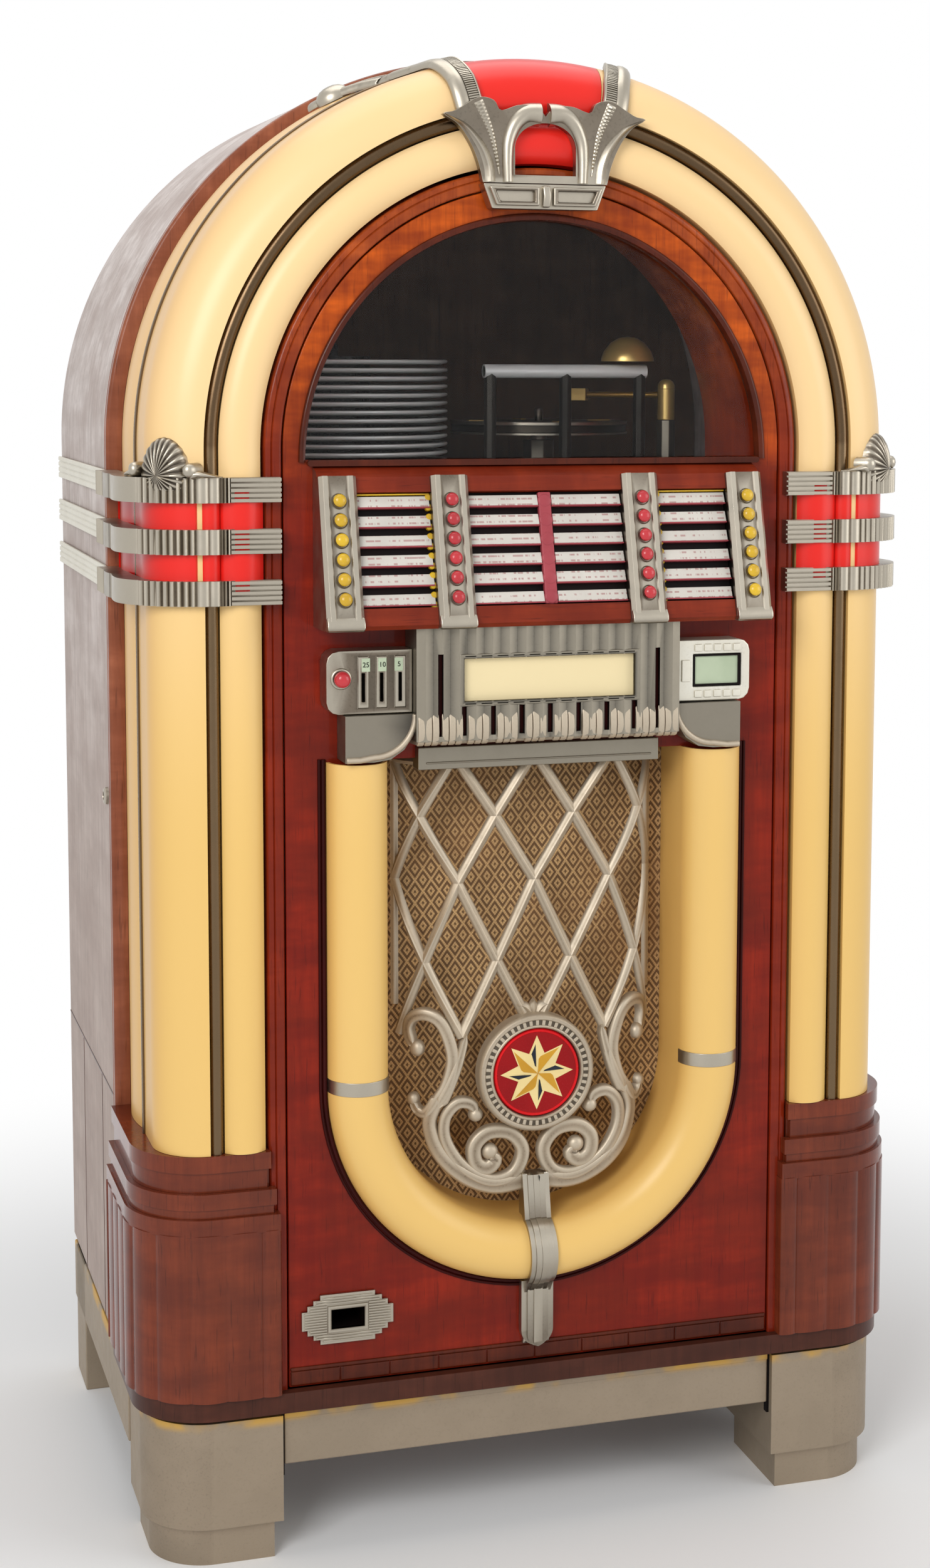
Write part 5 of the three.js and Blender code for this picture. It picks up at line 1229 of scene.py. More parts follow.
@dataclass
class Crown:
    """The red plastic at the top of the arch and the casting over it."""

    bottom: float = 1345.0
    half: float = 103.0
    tall: float = 105.0
    front: float = -26.0
    back: float = -12.3
    rib_half: float = 14.0

    def build(self) -> None:
        """Builds every piece of the crown."""
        self.plastic()
        self.plate()
        self.ribs()

    def plastic(self) -> None:
        """Builds the red plastic between the two arms of the arch."""
        pilaster = Pilaster(1)
        face = pilaster.inner_face()
        line = [(face[0][0], 24), *face, *pilaster.corner_face(), (385, 84), (382, 84), *pilaster.side_face()]
        outline = walled(line, 4.0)
        frames = [about(at(0, 0, ARCH_Z), -100.2 + 20.4 * i / 12) for i in range(13)]
        form = Form()
        form.sweep(section(outline, ARCH_Z), frames, ring=True)
        form.finish("crown_lens", "cabinet", LOOKS.red, "red_plastic", "keystone_plastic", sharp=30)

    def plate(self) -> None:
        """Builds the front casting: arms round the red window, leaves and a raised edge."""
        shares = [(0.615, 0.24), (0.66, 0.42), (0.74, 0.6), (0.86, 0.76), (1.0, 0.85), (0.9, 0.875), (0.8, 0.93),
                  (0.68, 1.0), (0.59, 1.01), (0.5, 0.98), (0.45, 0.9), (0.38, 0.91), (0.28, 0.945), (0.16, 0.95),
                  (0.06, 0.915), (0.0, 0.85)]
        right = smooth_line([(a * self.half, self.bottom + b * self.tall) for a, b in shares], 60)
        outline = [*right, *mirrored(reversed(right[:-1]), -1)]
        window = [(-31, self.bottom + 33), (31, self.bottom + 33),
                  *[(31 * math.cos(t), self.bottom + 59 + 24 * math.sin(t))
                    for t in (math.pi * i / 24 for i in range(25))]]
        form = Form()
        form.prism(Plane.FRONT, outline, self.front + 4, self.back, [window])
        form.finish("crown_plate", "cabinet", LOOKS.nickel, "nickel", "keystone_casting", 2.6, 4, 40)
        arms = Form()
        for side in (-1, 1):
            arm = smooth_line(mirrored([(38, 1371), (38.5, 1394), (37, 1411), (30, 1427), (19, 1436), (4.5, 1436.5)],
                                       side), 40)
            frames = path_frames(arm, [0.9 + 0.6 * (i / 40) ** 1.5 for i in range(41)])
            arms.sweep(bar_section(ROUND, 15.5, 14), [shift(y=-27) @ f for f in frames], ring=True)
            leaf = smooth_line(mirrored([(56, 1371), (58, 1388), (66, 1406), (82, 1424), (102, 1434)], side), 30)
            frames = path_frames(leaf, [max(0.08, 1 - (i / 30) ** 2.2) for i in range(31)])
            arms.sweep(bar_section(RIDGE, 13, 9), [shift(y=-25.5) @ f for f in frames], ring=True)
            tail = smooth_line(mirrored([(47, 1378), (50, 1396), (56, 1420), (68, 1447)], side), 40)
            frames = [shift(y=-23.2) @ f for f in path_frames(tail, [0.2 + 0.8 * i / 40 for i in range(41)])]
            arms.sweep(bar_section(ROUND, 15, 5), frames, ring=True)
            for i in range(4, 40, 2):
                arms.sweep(bar_section(RIDGE, 10, 7), [shift(y=-2.4) @ f for f in frames[i:i + 2]], ring=True)
        arms.finish("crown_arms", "cabinet", LOOKS.nickel, "nickel", "keystone_casting", sharp=50)

    def surface(self, share: float) -> tuple[float, float, float, float]:
        """Returns radius, place and normal at a share of the way along the plastic's face."""
        pilaster = Pilaster(1)
        line = [*pilaster.corner_face(), (385, 88), *pilaster.side_face()[1:]]
        points = spaced(line, 200)
        k = min(199, int(share * 200))
        (ax, ay), (bx, by) = points[k], points[k + 1]
        length = math.hypot(bx - ax, by - ay)
        part = share * 200 - k
        return ax + (bx - ax) * part, ay + (by - ay) * part, (by - ay) / length, (ax - bx) / length

    def ribs(self) -> None:
        """Builds the two hatched ribs that wrap back over the arch."""
        stations = [(0.0, 0.22, 1.0), (0.14, 0.22, 1.0), (0.3, 0.235, 1.0), (0.44, 0.265, 0.95), (0.55, 0.31, 0.95),
                    (0.66, 0.37, 1.0), (0.76, 0.44, 1.1), (0.81, 0.478, 1.04), (0.84, 0.5, 0.7)]
        count = 180
        fine = []
        for i in range(count + 1):
            along = 0.84 * i / count
            k = next(j for j in range(len(stations) - 1) if along <= stations[j + 1][0] + 1e-9)
            a, b = stations[k], stations[k + 1]
            part = (along - a[0]) / (b[0] - a[0])
            fine.append([p + (q - p) * part for p, q in zip(a, b)])
        shape = [(-1, 1.5), (-1, 6.4), (-0.92, 7.6), (-0.84, 7.4), (-0.8, 5.4), (-0.1, 5.4), (-0.06, 7.2),
                 (0.08, 8.4), (0.4, 8.8), (0.72, 7.8), (0.92, 5.6), (1, 3.2), (1, 1.5)]
        form = Form()
        bars = Form()
        bed = Form()
        for side in (-1, 1):
            frames = [self.rib_frame(side, *station) for station in fine]
            form.sweep([Vector((a, 0, b)) for a, b in shape], frames, ring=True)
            for i in range(2, count - 3, 2):
                rung = [(-0.82, 4.5), (-0.82, 7.0), (-0.45, 7.6), (-0.08, 7.4), (-0.08, 4.5)]
                bars.sweep([Vector((a, 0, b)) for a, b in rung], frames[i:i + 2], ring=True)
            lobe = Form()
            lobe.turn([(0, 15), (5, 14.6), (10, 13), (14, 10), (16.4, 6), (17, 2), (17, 0), (0, 0)], (0, 0, 0),
                      Turn.UPRIGHT, 48)
            lobe.lay(frames[168] @ Matrix.Diagonal((1 / (self.rib_half * MM), 1 / MM, 1 / MM, 1.0))
                     @ Matrix.Translation(-at(0, 0, 0)))
            form.take(lobe)
            bed.sweep([Vector((a, 0, b)) for a, b in ((-0.8, 5), (-0.8, 5.6), (-0.1, 5.6), (-0.1, 5))],
                      frames[1:count - 6], ring=True)
        form.finish("crown_ribs", "cabinet", LOOKS.nickel, "nickel", "keystone_casting", sharp=50)
        bed.finish("crown_channels", "cabinet", LOOKS.slate, "nickel", "keystone_casting")
        bars.finish("crown_hatching", "cabinet", LOOKS.nickel, "nickel", "keystone_casting")

    def rib_frame(self, side: int, along: float, turn: float, width: float) -> Matrix:
        """Returns a frame on the plastic: across the rib, along it and out from it."""
        radius, y, nr, ny = self.surface(along)
        across = Vector((side * math.cos(turn), 0, -math.sin(turn))) * (width * self.rib_half * MM)
        out = Vector((side * nr * math.sin(turn), ny, nr * math.cos(turn))) * MM
        run = out.normalized().cross(across.normalized()) * MM
        place = Matrix((across, run, out)).transposed().to_4x4()
        place.translation = at(side * radius * math.sin(turn), y, ARCH_Z + radius * math.cos(turn))
        return place


@dataclass
class Door:
    """The front door's board, its window and its trims."""

    half: float = 257.0
    bottom: float = 176.5
    thickness: float = 22.0
    glass: float = 237.0
    glass_z: float = 1101.0
    sill: float = 1103.0
    well: float = 156.0
    bend: float = 481.0
    well_top: float = 808.0

    def build(self) -> None:
        """Builds every piece of the door."""
        self.board()
        self.inlay()
        self.window()
        self.key_bar()
        self.beads()

    def u_line(self, half: float, top: float, steps: int = 64) -> list[Point]:
        """Returns the outline of the well: a half circle at the foot and two straight sides."""
        return [(-half, top), *arc(0, self.bend, half, 180, 360, steps), (half, top)]

    def board(self) -> None:
        """Builds the veneered board and the well behind the grille."""
        mouth = [(-216.8, 231.7), (-178.2, 231.7), (-178.2, 256.3), (-216.8, 256.3)]
        form = Form()
        for front, rear, radius in ((0.0, 9.0, self.glass), (8.7, self.thickness, self.glass + 6)):
            window = arch_outline(radius, self.sill - (radius - self.glass), self.glass_z)
            form.prism(Plane.FRONT, arch_outline(self.half, self.bottom), front, rear,
                       [window, self.u_line(self.well, self.well_top), mouth])
        form.finish("door_board", "front_door", LOOKS.door, "mahogany", "door_panel", 1.2, 2, 50)
        well = Form()
        well.prism(Plane.FRONT, self.u_line(self.well + 9, self.well_top + 9), 17, 60,
                   [self.u_line(self.well, self.well_top)])
        well.finish("grille_well", "front_door", LOOKS.maroon, "dark_wood", "door_panel")

    def inlay(self) -> None:
        """Builds the moulded rim of the window and the strips at the door's foot."""
        rim = Form()
        outline = [(self.glass + 5, 1), (self.glass + 5, -2.2), (self.glass + 3.6, -3.8), (self.glass + 1.4, -4.2),
                   (self.glass - 1.4, -2.6), (self.glass - 2.4, 1.5), (self.glass - 2.4, 8.8), (self.glass + 2, 8.8)]
        frames = [about(at(0, 0, self.glass_z), -180 * i / 96) for i in range(97)]
        rim.sweep(section(outline, self.glass_z), frames, ring=True)
        rim.finish("window_rim", "front_door", LOOKS.rim, "dark_wood", sharp=45)
        foot = Form()
        for x in range(-5, 5):
            foot.block((x * 51.2 + 0.2, -1.6, 178), (x * 51.2 + 51.0, 2, 193))
        foot.block((-256, -2.2, 193), (256, 2, 197))
        foot.finish("foot_moulding", "front_door", LOOKS.rim, "dark_wood", bevel=1.6, segments=3)

    def window(self) -> None:
        """Builds the pane and the plated sill under it."""
        pane = Form()
        pane.prism(Plane.FRONT, arch_outline(self.glass + 5.7, self.sill - 5.7, self.glass_z), 9.3, 14.3)
        pane.finish("window_pane", "front_door", LOOKS.glass, "glass", "window_glass")
        sill = Form()
        end = arc(231, 1100, 3, -90, 90, 8)
        outline = [*end, *mirrored(reversed(end), -1)]
        sill.prism(Plane.FRONT, outline, -7.5, 8.9)
        sill.finish("window_sill", "front_door", LOOKS.rim, "dark_wood", bevel=1.4, segments=3)

    def key_bar(self) -> None:
        """Builds the bar over the window with its two recesses."""
        form = Form()
        line = [(54.0, 1345.4), (63.0, 1369.6)]
        form.prism(Plane.FRONT, [*line, *mirrored(reversed(line), -1)], -22, -2.6)
        for side in (-1, 1):
            outer = mirrored([(7, 1348.4), (50.5, 1348.4), (58, 1366.6), (7, 1366.6)], side)
            inner = mirrored([(12, 1352.4), (46.5, 1352.4), (51, 1362.6), (12, 1362.6)], side)
            form.prism(Plane.FRONT, outer, -27, -21.5, [inner])
        form.prism(Plane.SIDE, [(-26.5, 1347), (-30, 1357.5), (-26.5, 1368), (-21, 1368), (-21, 1347)], -4, 4)
        form.finish("crown_bar", "front_door", LOOKS.nickel, "nickel", "door_panel", 1.8, 3, 40)

    def beads(self) -> None:
        """Builds the double bead round the tube."""
        form = Form()
        for centre, radius in ((219.2, 2.2), (223.4, 1.5)):
            outline = [(-x, y) for x, y in arc(centre, -1.2, radius, -180, 0, 10)]
            line = [(-(centre - radius), 1.5), *outline, (-(centre + radius), 1.5)]
            frames = u_frames(self.bend, 810.7)
            form.sweep(section(line, self.bend), frames, ring=True)
        form.finish("tube_bead", "front_door", LOOKS.maroon, "dark_wood", "door_panel", sharp=60)


@dataclass
class UTube:
    """The pale half-round tube round the grille, with its straps."""

    mid: float = 186.0
    radius: float = 30.0
    bend: float = 481.0
    top: float = 810.7

    def build(self) -> None:
        """Builds the tube and the straps."""
        form = Form()
        outer = arc(self.mid, -0.3, self.radius + 0.5, -180, 0, 28)
        inner = arc(self.mid, -0.3, self.radius - 3, -180, 0, 28)
        line = [(155.5, 59.5), (155.5, 30), *outer, *reversed(inner), (155.95, -0.3), (155.95, 59.5)]
        form.sweep(section(mirrored(line, -1), self.bend), u_frames(self.bend, self.top - 3, 72), ring=True)
        form.finish("u_lens", "front_door", LOOKS.cream, "cream_plastic", "u_tube", sharp=40)
        straps = Form()
        for side in (-1, 1):
            outer = walled(arc(side * (self.mid - 0.3), -0.3, self.radius + 1.2, -180, 0, 28), 1.8)
            outline = [(x, min(y, -0.3)) for x, y in outer]
            straps.prism(Plane.PLAN, outline, 477.5, 491.5)
        straps.finish("tube_straps", "front_door", LOOKS.nickel, "nickel", "u_tube", 0.5, 2)


@dataclass
class Grille:
    """The lattice, scrolls, header, medallion and clip in front of the speaker.

    The castings are drawn flat, by distance across and height, and then bent back at both sides.
    """

    flat: float = 75.0
    bend: float = 67.0
    reach: float = 160.1
    front: float = 3.0
    top: float = 808.0
    bottom: float = 447.0
    foot: float = 355.0
    half: float = 140.0
    tall: float = 190.0
    medallion_z: float = 480.0
    rungs: int = 48

    def build(self) -> None:
        """Builds every piece of the grille."""
        self.lattice()
        self.scrolls()
        self.header()
        self.seat()
        self.star()
        self.clip()

    def curve(self, place: Vector) -> Vector:
        """Bends a flat place back round the side of the grille."""
        turn = max(0.0, abs(place.x) - self.flat) / self.bend
        radius = self.bend - place.y
        across = place.x if turn == 0 else math.copysign(self.flat + radius * math.sin(turn), place.x)
        return Vector((across, self.front + self.bend - radius * math.cos(turn), place.z))

    def bars(self, form: Form, line: Line, widths: Sequence[float], rise: float,
             shape: Line = RIDGE) -> None:
        """Adds a ridged bar along a flat line.

        Args:
            form: Mesh that takes the bar.
            line: Points of distance across and height.
            widths: Width at each point.
            rise: How far the ridge stands out.
            shape: Section of the bar.
        """
        frames = path_frames(line, [max(width, 0.4) for width in widths])
        form.sweep(bar_section(shape, 1.0, rise), frames, ring=True)

    def lattice(self) -> None:
        """Builds the crossing bars and their frame."""
        rows = [0, 0.175, 0.36, 0.587, 0.798]
        form = Form()

        def crossing(row: int, column: int) -> Point:
            """Returns the place of a crossing, counted down from the header and out from the middle."""
            share = rows[row]
            return (42.0 - 5 * share) * column, self.top - (self.top - self.bottom) * share

        for lean in (-1, 1):
            for start in range(-8, 9, 2):
                spots = [crossing(row, start + lean * row) for row in range(5) if abs(start + lean * row) <= 4]
                if len(spots) > 1:
                    line = spaced(spots, 8 * len(spots))
                    self.bars(form, line, [11.0] * len(line), 7)
        for side in (-1, 1):
            edge = spaced([(side * self.reach, 805), (side * self.reach, 548)], 24)
            self.bars(form, edge, [8.0] * 25, 7)
            across = spaced([(side * self.flat, 800.5), (side * self.reach, 800.5)], 14)
            self.bars(form, across, [8.0] * 15, 7)
        form.remap(self.curve)
        form.finish("grille_lattice", "front_door", LOOKS.grille, "nickel", "speaker_grille", sharp=60)

    def scrolls(self) -> None:
        """Builds the cast scrolls and the small leaf over the medallion."""
        outer = [(0.9, 0.8), (0.957, 0.845), (0.979, 0.91), (0.93, 0.968), (0.829, 0.989), (0.721, 0.958),
                 (0.65, 0.868), (0.614, 0.737), (0.664, 0.595), (0.764, 0.479), (0.793, 0.374), (0.707, 0.226),
                 (0.5, 0.095), (0.271, 0.037), (-0.02, 0.068)]
        curl = [(0.936, 0.52), (0.9, 0.468), (0.836, 0.45), (0.779, 0.489), (0.73, 0.55)]
        inner = [(0.436, 0.437), (0.471, 0.495), (0.579, 0.505), (0.671, 0.426), (0.664, 0.3), (0.529, 0.153),
                 (0.329, 0.068), (0.15, 0.095), (0.079, 0.216), (0.171, 0.316), (0.336, 0.332), (0.443, 0.268),
                 (0.436, 0.174), (0.357, 0.137), (0.293, 0.174), (0.329, 0.226)]
        stem = [(0.514, 0.879), (0.564, 0.737), (0.643, 0.595), (0.721, 0.489)]
        form = Form()
        for side in (-1, 1):
            for shares, steps, start, end in ((outer, 110, 12, 19), (curl, 30, 9, 13), (inner, 130, 12, 16),
                                              (stem, 40, 8, 15)):
                spots = [(side * a * self.half, self.foot + b * self.tall) for a, b in shares]
                line = smooth_line(spots, steps)
                widths = [(start + (end - start) * i / steps) * min(1.0, 0.25 + i / 5, 0.25 + (steps - i) / 5)
                          for i in range(steps + 1)]
                self.bars(form, line, widths, 9, BROAD)
            for a, b, radius in ((0.9, 0.8, 8.5), (0.329, 0.226, 8.5), (0.436, 0.437, 7.5), (0.936, 0.52, 7)):
                form.turn([(0, -1.5), (0.5 * radius, -0.9), (0.85 * radius, 1.2), (radius, 4), (radius, 8), (0, 8)],
                          (side * a * self.half, 0, self.foot + b * self.tall), Turn.DEEP, 20)
        for side in (-1, 0, 1):
            leaf = smooth_line([(side * 2, 538), (side * 9, 546), (side * 19, 554 - 5 * abs(side))], 12)
            self.bars(form, leaf, [10 * math.sin(math.pi * min(0.98, 0.15 + i / 14)) for i in range(13)], 8)
        form.remap(self.curve)
        form.finish("grille_scrolls", "front_door", LOOKS.grille, "nickel", "speaker_grille", sharp=60)

    def header(self) -> None:
        """Builds the strip at the head of the grille."""
        form = Form()
        form.block((-126, -12, 797.3), (126, 9.5, 819.7))
        form.block((-118, -13.2, 803), (118, -11, 805))
        form.finish("grille_header", "front_door", LOOKS.steel, "nickel", "speaker_grille", 1.6, 3)

    def seat(self) -> None:
        """Builds the hatched ring round the medallion."""
        z = self.medallion_z
        form = Form()
        form.turn([(0, 1.7), (46.1, 1.7), (46.1, -5), (46.8, -6.8), (48, -7.4), (49.2, -6.8), (49.6, -6), (54.4, -6),
                   (54.8, -7), (56, -7.6), (58.6, -7.4), (60.4, -5.6), (61, -2), (61, 10), (0, 10)],
                  (0, 0, z), Turn.DEEP, 96)
        for i in range(self.rungs):
            rung = Form()
            rung.block((-1.7, -7.0, z + 49.4), (1.7, -5.4, z + 54.6))
            rung.lay(about(at(0, 0, z), 360 * i / self.rungs))
            form.take(rung)
        form.finish("medallion_ring", "front_door", LOOKS.grille, "nickel", "speaker_grille", 0.5, 2, 40)

    def star(self) -> None:
        """Builds the enamelled disc with its eight-pointed star."""
        z = self.medallion_z
        disc = Form()
        disc.turn([(0, 1.4), (45.5, 1.4), (45.5, -3.5), (44.2, -5.4), (42.6, -5.6), (41.8, -4.6), (0, -4.6)],
                  (0, 0, z), Turn.DEEP, 96)
        disc.finish("medallion_disc", "front_door", LOOKS.enamel, "red_plastic", "medallion", sharp=40)
        form = Form()
        for i in range(8):
            diagonal = i % 2 == 1
            turn = math.radians(45 * i)
            rise = 1.4 if diagonal else 0.0
            for half in (1, -1):
                side = turn + half * math.radians(45)
                points = [(0.0, 0.0), (38.5 * math.sin(turn), 38.5 * math.cos(turn)),
                          (16.5 * math.sin(side), 16.5 * math.cos(side))]
                self.facet(form, points, z, 1, rise)
            middle = [sum(point[k] for point in points) / 3 for k in (0, 1)]
            inset = [tuple(m + (0.8 if diagonal else 0.62) * (v - m) for v, m in zip(point, middle))
                     for point in points]
            if diagonal:
                inset[0] = (0.0, 0.0)
            self.facet(form, inset, z, 0 if diagonal else 2, rise + 0.7)
        form.finish("medallion_star", "front_door", [LOOKS.gold, LOOKS.ivory, LOOKS.navy], "red_plastic", "medallion",
                    sharp=10, tidy=False)

    def facet(self, form: Form, points: Line, z: float, slot: int, rise: float) -> None:
        """Adds one enamelled half of a point, higher along its middle.

        Args:
            form: Mesh that takes it.
            points: Centre, tip and waist, measured from the disc's middle.
            z: Height of the disc's middle.
            slot: Material slot.
            rise: How far it stands over the lower points.
        """
        (cx, cz), (tx, tz), (wx, wz) = points
        spots = [at(cx, -6.8 - rise, z + cz), at(tx, -4.9 - 0.3 * rise, z + tz), at(wx, -4.9 - 0.3 * rise, z + wz)]
        base = [at(cx, -4.4, z + cz), at(tx, -4.4, z + tz), at(wx, -4.4, z + wz)]
        verts = [form.mesh.verts.new(point) for point in (*spots, *base)]
        hull = bmesh.ops.convex_hull(form.mesh, input=verts)
        faces = [item for item in hull["geom"] if isinstance(item, bmesh.types.BMFace)]
        for face in faces:
            face.material_index = slot
        bmesh.ops.recalc_face_normals(form.mesh, faces=faces)

    def clip(self) -> None:
        """Builds the strap that runs over the tube and down the door."""
        centre = 295.0
        form = Form()
        for low, high, rise in ((-14, -9, 0.0), (-9, -3, 1.3), (-3, 3, 1.9), (3, 9, 1.3), (9, 14, 0.0)):
            over = [(y - 0.3, z) for y, z in arc(0, centre, 35.6 + rise, 108, 238, 28)]
            under = [(y - 0.3, z) for y, z in reversed(arc(0, centre, 31.2, 99, 250, 28))]
            line = [(10, 374), (0.5, 374), (-2 - rise, 372.6), *over, (-8, 250), (-8, 203), (-4, 196),
                    (-0.5, 196), (-0.5, 263.4), *under, (-0.3, 330), (10, 330)]
            form.prism(Plane.SIDE, line, low, high)
        form.finish("tube_clip", "front_door", LOOKS.nickel, "nickel", "speaker_grille", 0.9, 2, 50)
        foot = Form()
        for half, top, front in ((17.0, 264.0, -9.5), (11.0, 266.0, -11.8), (4.5, 268.0, -13.2)):
            foot.prism(Plane.FRONT, [(-half, top), *arc(0, 195 + half, half, 180, 360, 20), (half, top)], front, -0.4)
        foot.finish("clip_foot", "front_door", LOOKS.nickel, "nickel", "speaker_grille", 1.4, 3, 50)


@dataclass
class Selector:
    """The tilted selector: its housing, buttons and title strips, drawn upright and then leaned back."""

    half: float = 228.0
    top: float = 1087.0
    front: float = -20.0
    slope: float = math.atan2(36, 141)
    length: float = math.hypot(36, 141)
    rib_centre: float = 209.5
    rib_half: float = 18.5
    first_row: float = 24.76
    pitch: float = 19.2
    rows: int = 6
    columns: tuple[float, ...] = (-1.0, -0.468, 0.468, 1.0)

    def leaned(self) -> Matrix:
        """Returns the matrix that leans the upright drawing back onto the slope."""
        return (Matrix.Translation(at(0, self.front, self.top)) @ Matrix.Rotation(-self.slope, 4, "X")
                @ Matrix.Translation(-at(0, 0, 0)))

    def build(self) -> None:
        """Builds every piece of the selector."""
        self.housing()
        self.buttons()
        self.strips()

    def housing(self) -> None:
        """Builds the housing: nickel ribs between mahogany rails."""
        form = Form.of_node("selector_housing")
        centres = [share * self.rib_centre for share in self.columns]

        def rail(spot: Vector, normal: Vector) -> bool:
            """Tells whether a face lies on a rail between the ribs."""
            between = all(abs(spot.x - x) > self.rib_half + 0.2 for x in centres)
            return between and normal.y < -0.2 and abs(spot.x) < self.half - 1

        form.mark(1, rail)
        feet = Form()
        for x in centres:
            feet.prism(Plane.SIDE, [(-64.2, 950), (-64.6, 944), (-61, 941.6), (-40, 941.6), (-40, 948), (-60, 956)],
                       x - 18.4, x + 18.4)
        feet.finish("rib_feet", "front_door", LOOKS.nickel, "nickel", "selector_housing", 1.6, 3)
        form.finish("selector_frame", "front_door", [LOOKS.nickel, LOOKS.rail], "nickel", "selector_housing", 0.8, 2,
                    28)

    def buttons(self) -> None:
        """Builds the four columns of push buttons."""
        for column, share in enumerate(self.columns):
            look = LOOKS.yellow if abs(share) == 1 else LOOKS.ruby
            for row in range(self.rows):
                spot = (share * self.rib_centre, -8.3, -self.first_row - row * self.pitch)
                form = Form()
                form.turn([(0, -6.6), (1.6, -6.5), (3.2, -6.2), (4.6, -5.4), (5.7, -4.4), (6.3, -3.4), (6.4, -2.8),
                           (6.1, -2.5), (4.2, -2.5), (4.2, 10), (0, 10)], spot, Turn.DEEP, 28)
                form.lay(self.leaned())
                name = f"{column + 1}_{row + 1}"
                slot = "yellow_plastic" if abs(share) == 1 else "red_plastic"
                form.finish(f"button_{name}", f"selector_button_{name}", look, slot, f"selector_button_{name}",
                            sharp=60)
        collars = Form()
        for share in self.columns:
            for edge in (-10.6, 9.4):
                x = share * self.rib_centre + edge
                collars.block((x, -7.1, -self.length + 5), (x + 1.2, -5.5, -7))
            for row in range(self.rows):
                spot = (share * self.rib_centre, -6.6, -self.first_row - row * self.pitch)
                collars.turn([(6.8, 1.5), (6.8, -0.4), (7.4, -0.8), (8.2, 0), (8.2, 1.5)], spot, Turn.DEEP, 24)
        collars.lay(self.leaned())
        collars.finish("button_collars", "front_door", LOOKS.steel, "nickel", "selector_housing", sharp=60)

    def spans(self) -> list[Point]:
        """Returns the start and end of each column of strips, from left to right."""
        return [(-190.4, -117.2), (-79.0, -6.8), (6.8, 79.0), (117.2, 190.4)]

    def strips(self) -> None:
        """Builds the title strips on their leaning shelves, with the rack behind them."""
        back = Form()
        back.block((-190.6, 9, -self.length + 17.4), (190.6, 12, -15.4))
        back.lay(self.leaned())
        back.finish("rack_plate", "front_door", LOOKS.dark, "dark_wood", "title_rack")
        cards = Form()
        holders = Form()
        for row in range(self.rows):
            top = -self.first_row - row * self.pitch + 6.2
            for low, high in self.spans():
                card = [(9.2, top), (4.6, top), (2.4, top - 10.6), (9.2, top - 10.6)]
                cards.prism(Plane.SIDE, card, low + 0.4, high - 0.4)
                lip = [(9.3, top - 10.7), (2.6, top - 10.7), (2.0, top - 11.9), (9.3, top - 11.9)]
                holders.prism(Plane.SIDE, lip, low, high)
        cards.lay(self.leaned())
        cards.finish("title_cards", "front_door", LOOKS.card, "title_cards", "title_rack", 0.3, 1)
        holders.lay(self.leaned())
        holders.finish("card_holders", "front_door", LOOKS.rose, "title_cards", "title_rack")
        spine = Form()
        spine.block((-6.4, 2.5, -self.length + 18), (6.4, 9.2, -16))
        for row in range(self.rows):
            z = -self.first_row - row * self.pitch
            spine.turn([(0, 1.4), (5.5, 1.8), (7.4, 3), (7.4, 8), (0, 8)], (0, 0, z), Turn.DEEP, 24)
        spine.lay(self.leaned())
        spine.finish("centre_spine", "front_door", LOOKS.rose, "red_plastic", "title_rack", 1.2, 2)
        thin = Form()
        for side in (-1, 1):
            for row in range(12):
                spot = (side * 118.2, 0, -self.first_row + 4.8 - 9.6 * row)
                thin.turn([(0, 3.4), (2.6, 3.6), (3.4, 4.6), (3.4, 9), (0, 9)], spot, Turn.DEEP, 16)
            thin.block((side * 117, 4.4, -17.2), (side * 190.4, 9.2, -16))
        thin.lay(self.leaned())
        thin.finish("rack_lines", "front_door", LOOKS.yellow, "yellow_plastic", "title_rack")


